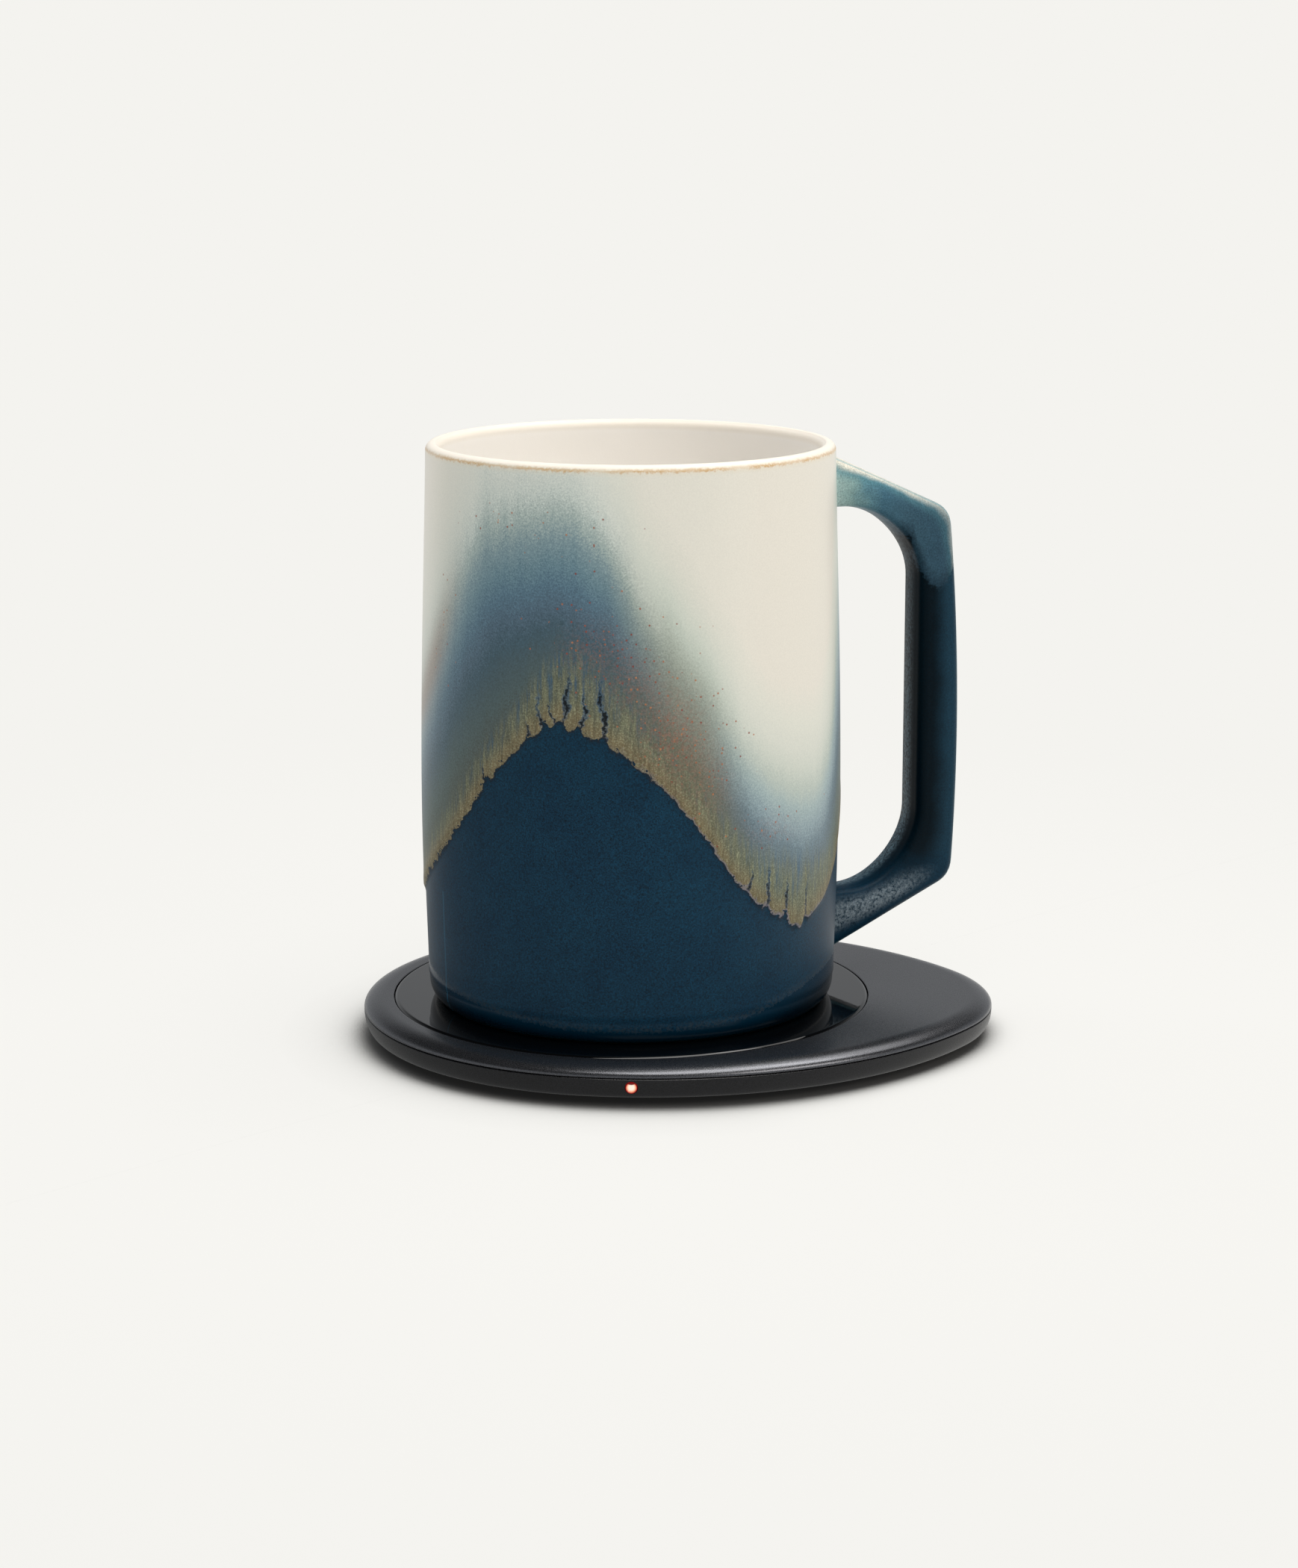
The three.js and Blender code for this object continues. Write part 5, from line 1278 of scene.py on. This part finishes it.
def makeFootPad():
    b = base
    top, inset, soft = b["underside"] + b["padRecess"], b["padInset"], b["soft"]
    rings = [eggRing(inset + soft, 0)]
    rings += [eggRing(inset + i, z) for i, z in ellipseArc(soft, soft, soft, soft, 270, 180, 6)[1:]]
    rings += [eggRing(inset, top - 0.05), eggRing(inset + 0.05, top)]
    makePiece("rubber_foot", loft(rings), "charging_base", "silicone", ["foot_pad"])


def makeIndicator():
    # The pipe's outer end is dished and follows the face of the shell.
    low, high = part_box("light_pipe")
    radius, outer, inner, soft = indicator["radius"], low.y / mm, high.y / mm, 0.12
    profile = [(radius * 0.97, inner), (radius, inner - 0.05), (radius, outer + soft)]
    profile += [(radius - soft * (1 - math.cos(a)), outer + soft - soft * math.sin(a))
                for a in np.linspace(0.3, math.pi / 2, 4)]
    profile += [(radius * t, outer + 0.5 * (1 - t * t)) for t in np.linspace(0.85, 0.06, 10)]
    rings = ringsAlongY(profile, indicator["z"])
    makePiece("indicator_lens", loft(rings), "charging_base", "clear_amber", ["light_pipe"])


def makeSocket():
    # Drawn shell with a rolled mouth.
    low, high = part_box("socket_shell")
    width, height = (high.x - low.x) / mm, (high.z - low.z) / mm
    middle, front, back, sheet = (high.z + low.z) / 2 / mm, high.y / mm, low.y / mm, base["socketSheet"]
    steps = [(0, back), (0, front - 0.12), (0.04, front - 0.03), (0.15, front), (sheet - 0.04, front - 0.03),
             (sheet, front - 0.12), (sheet, back)]
    points, faces = loft([ovalRing(width - 2 * i, height - 2 * i, y, middle) for i, y in steps], loop=True)
    shape = points, [tuple(reversed(face)) for face in faces]
    makePiece("socket_sleeve", shape, "charging_base", "steel", ["socket_shell"])


makeTopShell()
makeBottomShell()
makeDisc()
makeFootPad()
makeIndicator()
makeSocket()
print("base ready")


# The parts inside keep their shapes and get their finishes

for name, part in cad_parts.items():
    if not part.material_slots or part.hide_render:
        continue
    slot = part.material_slots[0].material.name.split(".")[0]
    if slot in materials:
        part.material_slots[0].material = materials[slot]
    else:
        print("no finish for", name, slot)
print("inside ready")

print("scene ready")
